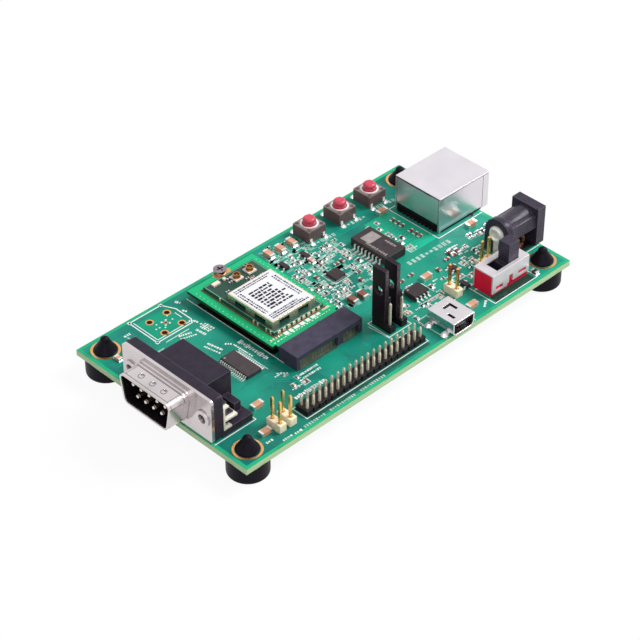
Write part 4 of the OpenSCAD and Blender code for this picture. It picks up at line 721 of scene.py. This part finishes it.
def small_parts():
    """Small chip parts with their tinned ends and printed boxes, in the busy stretches of the board."""
    bodies = [Piece("small_tan_parts", tan, "tan_ceramic"),
              Piece("small_brown_parts", brown_clay, "brown_ceramic"),
              Piece("small_grey_parts", grey_clay, "brown_ceramic"),
              Piece("small_black_parts", epoxy, "chip_black")]
    ends = Piece("small_part_ends", solder, "tin")
    boxes = Piece("small_part_print", ink, "label_white")
    faint = Piece("small_part_outlines", faint_ink, "label_white")
    pale = Piece("pale_pads", pale_mask)
    taken = taken_places()

    def free(x, y, w, d):
        return all(x + w / 2 < a or x - w / 2 > b or y + d / 2 < c or y - d / 2 > e for a, b, c, e in taken)

    def part(body, x, y, long, wide, high, turn):
        end = long * 0.26
        body.box(x, y, long - 2 * end, wide, 0.02, high, turn)
        c, s = math.cos(math.radians(turn)), math.sin(math.radians(turn))
        for side in (-1, 1):
            shift = side * (long - end) / 2
            ends.box(x + c * shift, y + s * shift, end, wide * 1.02, 0.0, high + 0.02, turn)
            shift = side * (long / 2 + 0.12)
            ends.box(x + c * shift, y + s * shift, 0.3, wide * 1.1, 0.0, 0.12, turn)

    draw = random.Random(11)
    kinds = [(1.0, 0.5, 0.4), (0.9, 0.46, 0.36), (1.0, 0.5, 0.4), (1.4, 0.7, 0.5)]
    step_x, step_y = 1.45, 1.3
    pale_z, pad_z = (0.003, 0.011), (0.0, 0.1)
    for _ in range(110):
        x, y = draw.uniform(0.8, 19), draw.uniform(-5, 21.6)
        pale.box(x, y, draw.uniform(0.8, 2.6), draw.uniform(0.6, 1.7), *pale_z)
    # Stretches of the board, each with the share of its raster that carries a part
    regions = [(0.6, 19.6, -5.6, 22.2, 0.95), (29.6, 35, 1.2, 16.4, 0.6), (20, 42, -18, -6.4, 0.75),
               (9.8, 24, -24.4, -7, 0.65), (-28, -24.6, -20, -8, 0.4), (44, 54, -6, -1, 0.5)]
    for x0, x1, y0, y1, share in regions:
        for i in range(int((x1 - x0) / step_x) + 1):
            for j in range(int((y1 - y0) / step_y) + 1):
                x = x0 + i * step_x + draw.uniform(-0.25, 0.25)
                y = y0 + j * step_y + draw.uniform(-0.2, 0.2)
                long, wide, high = draw.choice(kinds)
                body = draw.choices(bodies, weights=(2, 3, 5, 2))[0]
                framed, present, bare = draw.random() < 0.8, draw.random() < share, draw.random() < 0.22
                turned = (i // 3 + j // 3) % 2 == 1
                w, d = (wide, long) if turned else (long, wide)
                if not present or not free(x, y, w + 0.3, d + 0.3):
                    continue
                taken.append((x - w / 2 - 0.1, x + w / 2 + 0.1, y - d / 2 - 0.1, y + d / 2 + 0.1))
                if bare:
                    dashes(boxes, (x - 0.8, y), (x + 0.8, y), 0.5, seed=100 + i * 20 + j, gap=0.2)
                    continue
                part(body, x, y, long, wide, high, 90 if turned else 0)
                if framed:
                    frame_path = box_path(x - w / 2 - 0.3, x + w / 2 + 0.3,
                                          y - d / 2 - 0.26, y + d / 2 + 0.26)
                    draw.choice((boxes, faint)).stroke(frame_path, 0.14, *INK, True)
    for i in range(60):
        x, y = draw.uniform(0.8, 13.4), draw.uniform(20.6, 27.8)
        (pale, pale, faint)[i % 3].box(x, y, draw.uniform(0.6, 1.8), draw.uniform(0.4, 1.2), *pale_z)
    # Print and pads of the three tan capacitors
    for x, y in ((3, 24.9), (6.7, 24.5), (10.7, 24.6)):
        for side in (-1, 1):
            faint.box(x + side * 1.35, y, 0.16, 3.4, *INK)
            ends.box(x, y + side * 1.75, 1.7, 0.5, *pad_z)
        dashes(boxes, (x - 1.2, y - 3.1), (x + 1.2, y - 3.1), 0.6, seed=int(40 + x), gap=0.2)
    x, y = middle("bridge_chip")
    for i in range(8):
        along = (i - 3.5) * 0.4
        for side in (-1, 1):
            ends.box(x + along, y + side * 1.9, 0.22, 0.4, *pad_z)
            ends.box(x + side * 1.9, y + along, 0.4, 0.22, *pad_z)
    boxes.stroke(around("bridge_chip", *[0.7] * 4), 0.16, *INK, True)
    for x, y, body in ((-51.1, 20.1, bodies[0]), (9.0, 15.5, bodies[0]), (36.4, -6.9, bodies[1]),
                       (38.2, -7.7, bodies[1]), (45.7, -27.2, bodies[3])):
        part(body, x, y, 2.0, 1.2, 0.8, 90)
    # Brown sleeves over two of the CAD's capacitors
    for x, y in ((4.8, -3.2), (8.0, -3.5)):
        bodies[1].box(x, y, 1.64, 2.1, 0.02, 1.13)


def solder_joints():
    """Fillets around soldered pins below the board and under the surface leads above it."""
    joints = Piece("solder_joints", solder, "tin")
    under = -BOARD_T
    for name, r in (("pin_header_pins", 0.55), ("link_header_pins", 0.7), ("jumper_header_pins", 0.55),
                    ("serial_pins", 0.6), ("ethernet_contacts", 0.5), ("switch_terminals", 0.9)):
        mesh = nodes[name].data
        lowest = min(v.co.z for v in mesh.vertices)
        tails = {}
        for v in mesh.vertices:
            if v.co.z < lowest + 0.05 * MM:
                x, y = (v.co.x - MIDDLE.x) / MM, (v.co.y - MIDDLE.y) / MM
                key = next((k for k in tails if abs(k[0] - x) < 1.2 and abs(k[1] - y) < 1.2), (x, y))
                tails.setdefault(key, []).append((x, y))
        for spots in tails.values():
            x = sum(s[0] for s in spots) / len(spots)
            y = sum(s[1] for s in spots) / len(spots)
            joints.post(x, y, r + 0.15, under - 0.05, under - 0.001)
            joints.post(x, y, r * 0.55, under - 0.8, under - 0.05, r)
    for name in BUTTONS:
        x, y = middle(name)
        for sx, sy in SIGNS:
            joints.post(x + sx * 2.25, y + sy * 3.75, 0.8, 0.002, 0.6, 0.3)
    low, high = span("usb_shell")
    for x in (low.x + 0.1, high.x - 0.1):
        for y in (low.y + 2.2, high.y - 1.4):
            joints.post(x, y, 1.1, 0.002, 0.75, 0.5)


def label_print():
    """Generic print on the label: rows of bars."""
    low, high = span("radio_label")
    z = (high.z + 0.001, high.z + 0.012)
    piece = Piece("label_print", print_grey, "chip_black")
    x0, x1, y0, y1 = low.x, high.x, low.y, high.y
    for i, y in enumerate((y0 + 0.7, y0 + 1.4, y0 + 2.1, y1 - 0.7, y1 - 1.4)):
        dashes(piece, (x0 + 0.8, y), (x1 - 0.9 - i % 3 * 1.2, y), 0.55, z, seed=60 + i, gap=0.16)
    for i in range(8):
        y = y0 + 3.9 + i * 1.1
        dashes(piece, (x0 + 3.0, y), (x1 - 3.2 - i % 3 * 0.8, y), 0.86, z, seed=70 + i, gap=0.3,
               longs=(0.4, 1.7))
    for i, x in enumerate((x0 + 0.8, x0 + 1.6, x1 - 0.8, x1 - 1.6)):
        dashes(piece, (x, y0 + 3.2), (x, y1 - 2.2), 0.55, z, seed=90 + i, gap=0.2)


def card_details():
    """The radio card's pads, print, flux line, rim and small parts, and a dark film of painted shade below
    the card.
    """
    low, high = span("card_board")
    radio_low, radio_high = span("radio_board")
    top, radio_top = high.z, radio_high.z
    shoulder = low.y + 4.2
    print_z, rim_z = (top + 0.003, top + 0.02), (radio_top + 0.003, radio_top + 0.015)
    pad_z, chip_z = (top + 0.003, top + 0.03), (radio_top + 0.005, radio_top + 0.5)
    # Painted shade: a near-black sheet on the board under the card, where the card's shadow falls
    shade_film = box_path(low.x + 0.45, high.x - 0.4, shoulder + 0.4, high.y - 3.2)
    Piece("card_shade_film", dark_liner, "black_plastic").prism(shade_film, 0.02, 0.2)
    outside, inside = around("radio_board", *[0.3] * 4), around("radio_board", *[-0.3] * 4)
    Piece("card_flux", rust, "brown_ceramic").stroke(outside, 0.34, *pad_z, True)
    Piece("radio_rim", pale_mask, "radio_green").stroke(inside, 0.16, *rim_z, True)
    chips = Piece("radio_chips", cream_chip, "cream_plastic")
    chips.box(radio_low.x + 3.0, radio_high.y - 1.4, 2.2, 1.1, *chip_z)
    chips.box(radio_low.x + 5.8, radio_high.y - 1.4, 0.8, 0.8, *chip_z)
    mid_x, mid_y = middle("card_screw")
    turns = [math.radians(180 + 15 * i) for i in range(13)]
    arc = [(mid_x + r * math.cos(t), min(high.y, mid_y + r * math.sin(t)) - 0.02)
           for r, way in ((2.75, 1), (1.5, -1)) for t in turns[::way]]
    Piece("screw_pad", ring_gold, "gold").prism(arc, *pad_z)
    gilt = Piece("card_pads", pale_gold, "gold")
    print_ = Piece("card_print", ink, "label_white")
    parts = Piece("card_parts", brown_clay, "brown_ceramic")
    ends = Piece("card_part_ends", solder, "tin")
    for y in [shoulder + 1.5 + i * 1.4 for i in range(20)]:
        for x in (low.x + 0.9, high.x - 0.9):
            gilt.post(x, y, 0.12, top + 0.002, top + 0.016, sides=8)
    dashes(print_, (low.x + 5.4, shoulder + 1.5), (high.x - 4.4, shoulder + 1.5), 1.5, print_z, seed=33,
           gap=0.4, longs=(0.6, 1.8))
    dashes(print_, (low.x + 1.2, shoulder + 0.6), (high.x - 1.2, shoulder + 0.6), 0.35, print_z, seed=34,
           gap=0.5)
    draw = random.Random(3)
    for i in range(15):
        for x in (radio_low.x - 0.02, radio_high.x + 0.02):
            if draw.random() < 0.45:
                gilt.box(x, radio_low.y + 1.2 + i * 1.5, 0.22, 0.5, top + 0.01, radio_top + 0.015)
    for i in range(9):
        gilt.box(radio_low.x + 1.6 + i * 1.65, radio_low.y - 0.02, 0.9, 0.26, top + 0.01, radio_top + 0.015)
    can_back = span("radio_can")[1].y
    for i in range(16):
        x = draw.uniform(radio_low.x + 1, radio_high.x - 1)
        y = draw.uniform(can_back + 0.7, radio_high.y - 0.8)
        by_sockets = x > radio_low.x + 7 and abs(y - (radio_high.y - 3)) < 1.9
        by_chips = x < radio_low.x + 6.5 and y > can_back + 5.2
        if by_sockets or by_chips:
            continue
        parts.box(x, y, 0.5, 0.5, radio_top + 0.005, radio_top + 0.4)
        for shift in (-0.38, 0.38):
            ends.box(x + shift, y, 0.26, 0.5, radio_top + 0.005, radio_top + 0.42)
    for i in range(5):
        for x in (low.x + 1.4 + i * 0.8, high.x - 1.4 - i * 0.5):
            gilt.box(x, shoulder + 1.9, 0.4, 0.7, *pad_z)


def chip_marks():
    """Generic faint print and pin-one dots on the chips."""
    piece = Piece("chip_print", grey_clay, "label_white")
    low, high = span("network_transformer")
    z = (high.z + 0.001, high.z + 0.012)
    piece.box(middle("network_transformer")[0] + 0.2, high.y - 3.6, 4.4, 3.4, *z)
    dashes(piece, (low.x + 1.2, high.y - 4.4), (low.x + 1.2, low.y + 1.0), 0.9, z, seed=51)
    dashes(piece, (high.x - 1.6, high.y - 7.0), (high.x - 1.6, low.y + 1.6), 0.8, z, seed=54)
    for name, inset in (("serial_driver", 0.8), ("regulator_chip", 0.7)):
        low, high = span(name)
        piece.post(low.x + 0.7, high.y - inset, 0.28, high.z + 0.001, high.z + 0.012)


def serial_details():
    """The serial connector's painted shade on its inner walls, collar, dark lines of painted reflection and
    shade round it and along its top edges, painted dark rims round the dimples, lock covers and pin tips.
    """
    shell_low, shell_high = span("serial_shell")
    block_x = span("serial_housing")[0].x
    rise = 0.85
    mid_y, mid_z = (shell_low.y + shell_high.y) / 2, (shell_low.z + shell_high.z) / 2 + rise
    half_w, half_h, slant, corner, wall, thick = 8.7, 4.2, 1.0, 1.6, 0.52, 0.1
    flange_x = block_x - 0.8
    side_y, side_z = half_w - corner, half_h - corner
    middles = [(side_y, side_z, 0), (-side_y, side_z, 90), (slant - side_y, -side_z, 180),
               (side_y - slant, -side_z, 270)]
    turns = [(y, z, math.radians(start + step * 15)) for y, z, start in middles for step in range(7)]

    def ring(x0, x1, out, into):
        """Outer and inner loops of a ring round the shell's shape, by their depths below its skin."""
        def loop(depth, x):
            r = corner - depth
            return [(x, mid_y + y + r * math.cos(t), mid_z + z + r * math.sin(t)) for y, z, t in turns]

        return [loop(out, x0), loop(out, x1)], [loop(into, x0), loop(into, x1)]

    # Painted shade: a near-black lining inside the shell's walls, where the shell's inside is in shade
    liner = ring(shell_low.x + 0.3, block_x, wall, wall + thick)
    Piece("serial_shade_liner", dark_liner, "black_plastic").band(*liner)
    collar = ring(flange_x - 0.4, flange_x - 0.01, -0.22, -0.01)
    Piece("serial_collar", nickel, "bright_shield").band(*collar)
    # Dark lines of painted reflection and shade: rings near the front rim and the root, strokes along the
    # top's rounded edges, and rings round the dimples
    lines = Piece("serial_painted_lines", dark_nickel, "bright_shield")
    for x in (shell_low.x + 0.6, flange_x - 0.7):
        lines.band(*ring(x, x + 0.16, -0.02, 0.05))
    top = mid_z + half_h
    dimple_x, rim = (shell_low.x + flange_x) / 2, (0.66, 0.84, top - 0.05, top + 0.03)
    for side in (-1, 1):
        y = mid_y + side * (side_y + 0.1)
        lines.stroke([(shell_low.x + 0.7, y), (flange_x - 0.7, y)], 0.12, top - 0.05, top + 0.015)
        lines.ring(dimple_x, mid_y + side * 3.9, *rim)
    lines.ring(dimple_x, mid_y, *rim)
    covers = Piece("lock_covers", black, "black_plastic")
    lock_low, lock_high = span("serial_board_locks")
    plate_x, base, step, peak = lock_low.x + 0.02, 2.0, 5.3, lock_high.z + 0.35
    outline = [(plate_x, base), (plate_x + 3.9, base), (plate_x + 3.9, step), (plate_x + 1.9, step),
               (plate_x + 1.9, peak), (plate_x, peak)]
    for outer, inner in ((lock_low.y + 1.1, mid_y - 8.3), (lock_high.y - 1.1, mid_y + 8.3)):
        covers.loft([[(x, y, z) for x, z in outline] for y in (outer, inner)])
    tips = Piece("serial_pin_tips", lead_tin, "gold")
    tip_x = span("serial_pins")[0].x
    pin_r, skin, pitch, row = 0.5, 0.015, 2.77, 2.84
    depths = (0.02, 0.1, 0.22, 0.5, 0.75)
    radii = [math.sqrt(pin_r ** 2 - max(0, pin_r - deep) ** 2) + skin for deep in depths]
    for count, z in ((5, mid_z + row / 2), (4, mid_z - row / 2)):
        for i in range(count):
            y = mid_y + (i - (count - 1) / 2) * pitch
            tips.loft([[(tip_x + deep - skin, u, v) for u, v in circle(y, z, r, 12)]
                       for deep, r in zip(depths, radii)])


def socket_details():
    """Small details of the USB socket, the network jack, the power jack, the switch and the buttons."""
    low, high = span("usb_shell")
    # A low dimple on the shell in paler, duller tin: a real dimple with a painted highlight
    dimple = Piece("usb_dimple_glint", lead_tin, "bright_shield")
    dimple.post(middle("usb_shell")[0], low.y + 4.75, 0.5, high.z - 0.05, high.z - 0.005, 0.4)
    low, high = span("ethernet_shield")
    mid_x, mid_y = middle("ethernet_shield")
    comb = Piece("network_comb", jet, "black_plastic")
    tails = Piece("network_tails", dark_nickel, "tin")
    seam = Piece("network_seam", dark_nickel, "bright_shield")
    comb.box(low.x + 0.2, mid_y, 0.3, high.y - low.y - 1.6, 0.02, 0.9)
    for i in range(10):
        y = low.y + 1.8 + i * 1.33
        comb.box(low.x - 0.1, y, 0.4, 0.5, 0.02, 0.6)
        tails.box(low.x - 0.1, y + 0.66, 0.34, 0.26, 0.02, 0.25)
    thin, out, line, fold, fold_z = 0.03, 0.005, 0.14, 0.55, high.z - 0.5
    seam.box(low.x - out, mid_y, thin, high.y - low.y - 0.4, fold_z, high.z - 0.16)
    comb.box(mid_x - 1, low.y - 0.01, high.x - low.x - 3.4, 2 * thin, 0.02, 0.55)
    for y in (low.y + fold, high.y - fold):
        seam.box(low.x - out, y, thin, line, 1.0, fold_z)
    for y in (low.y - out, high.y + out):
        seam.box(mid_x, y, high.x - low.x - 1.2, thin, fold_z, high.z - 0.36)
        seam.box(high.x - 2.2, y, line, thin, 0.4, fold_z)
    # Two spring tabs cut into the +Y wall
    tab_low, tab_high, tab_half = 3.0, 7.4, 1.3
    for x in (low.x + 5.2, low.x + 12.6):
        for shift in (-tab_half, tab_half):
            seam.box(x + shift, high.y + out, line, thin, tab_low, tab_high)
        seam.box(x, high.y + out, 2 * tab_half + line, thin, tab_low - line, tab_low)
    low, high = span("power_jack_housing")
    bend, turns = 2.2, [math.radians(-80 + 17 * i) for i in range(11)]
    curve = [(low.x + 4.8 + bend * math.cos(t), low.y + 1.7, 2.75 + bend * math.sin(t)) for t in turns]
    Piece("jack_spring", bronze, "gold").wire(curve, 0.5)
    # A thin black base under the barrel: partly the jack's flat bottom, partly painted shade under the
    # barrel
    base = around("power_jack_housing", -1.6, -3.2, -1.2, -1.2)
    Piece("jack_shade_base", jet, "black_plastic").prism(base, 0.02, 0.4)
    low, high = span("switch_lever")
    # Black floor and walls inside the lever's slot: painted shade in the recess
    slot = Piece("switch_slot_shade", black, "black_plastic")
    travel = 4.2
    end, floor_z, rim_z = low.x - travel, low.z - 0.095, high.z - 5.85
    slot.prism(box_path(end, high.x, low.y - 0.05, high.y + 0.05), floor_z, floor_z + thin)
    slot.prism(box_path(end - 0.09, end - 0.06, low.y, high.y), floor_z, rim_z)
    for y in (low.y - 0.08, high.y + 0.05):
        slot.prism(box_path(end - 0.05, high.x + 0.05, y, y + thin), floor_z, rim_z)
    rings = Piece("button_rims", lead_tin, "tin")
    cover_top = span("button_covers")[1].z
    for name in BUTTONS:
        rings.ring(*middle(name), 1.95, 2.42, cover_top + 0.002, cover_top + 0.14, sides=32)


marks = Piece("silkscreen", ink, "label_white")
for draw_on in (outlines, footprint, printed_marks):
    draw_on(marks)
for build in (faint_rows, copper, underside, pads_and_vias, small_parts, solder_joints, label_print,
              card_details, chip_marks, serial_details, socket_details):
    build()
for piece in Piece.every:
    piece.make()


# Camera, light and floor


def camera():
    """The photograph's viewpoint, solved from the board's edges and standard parts."""
    heading, lowered = 44.53, 38.51
    focal_px, image_px, sensor = 2194.19, 640, 36.0
    data = bpy.data.cameras.new("camera")
    data.sensor_width = sensor
    data.lens = focal_px / image_px * sensor
    data.clip_start, data.clip_end = 0.01, 20
    piece = put("camera", data)
    piece.location = place(-300.65, -302.29, 334.2)
    piece.rotation_euler = (math.radians(90 - lowered), 0, math.radians(-heading))
    scene.camera = piece


def seen_directly(tree):
    """One for rays from the camera and for reflections, zero for the light on the object."""
    path = add(tree, "LightPath").outputs
    total = path["Is Camera Ray"]
    for name in ("Is Glossy Ray", "Is Transmission Ray"):
        total = add(tree, "Math", {0: total, 1: path[name]}, operation="MAXIMUM").outputs[0]
    return total


def world():
    """White surroundings: full white where seen, softer as light."""
    made = bpy.data.worlds.new("studio")
    scene.world = made
    made.use_nodes = True
    tree = made.node_tree
    strength = add(tree, "MapRange", {"To Min": 0.42, "To Max": 1.0, "Value": seen_directly(tree)})
    fill(tree.nodes["Background"], {"Color": WHITE, "Strength": strength.outputs["Result"]})


def soft_light(name, spot, size, power):
    """A large square soft box that faces the object."""
    data = bpy.data.lights.new(name, "AREA")
    data.shape = "SQUARE"
    data.size = size
    data.energy = power
    piece = put(name, data)
    piece.location = spot
    piece.rotation_euler = (-Vector(spot)).to_track_quat("-Z", "Y").to_euler()


def floor():
    """A pale floor that is white to the eye and keeps a faint shadow."""
    half = 3.0
    mesh = bpy.data.meshes.new("floor")
    corners = [(-half, -half, 0), (half, -half, 0), (half, half, 0), (-half, half, 0)]
    mesh.from_pydata(corners, [], [(0, 1, 2, 3)])
    piece = put("floor", mesh)
    material, tree, shader = new_material("floor")
    fill(shader, {"Base Color": (0.9, 0.9, 0.9, 1), "Roughness": 0.9})
    glow = add(tree, "Emission").outputs["Emission"]
    share = add(tree, "Math", {0: seen_directly(tree), 1: 0.93}, operation="MULTIPLY").outputs[0]
    mix = add(tree, "MixShader", {"Fac": share, 1: shader.outputs["BSDF"], 2: glow})
    fill(tree.nodes["Material Output"], {"Surface": mix.outputs["Shader"]})
    mesh.materials.append(material)


camera()
world()
soft_light("key", (0.79, -0.37, 0.97), 0.55, 16.0)
soft_light("fill", (-0.6, -0.6, 0.9), 0.8, 3.0)
floor()
scene.view_settings.view_transform = "Standard"
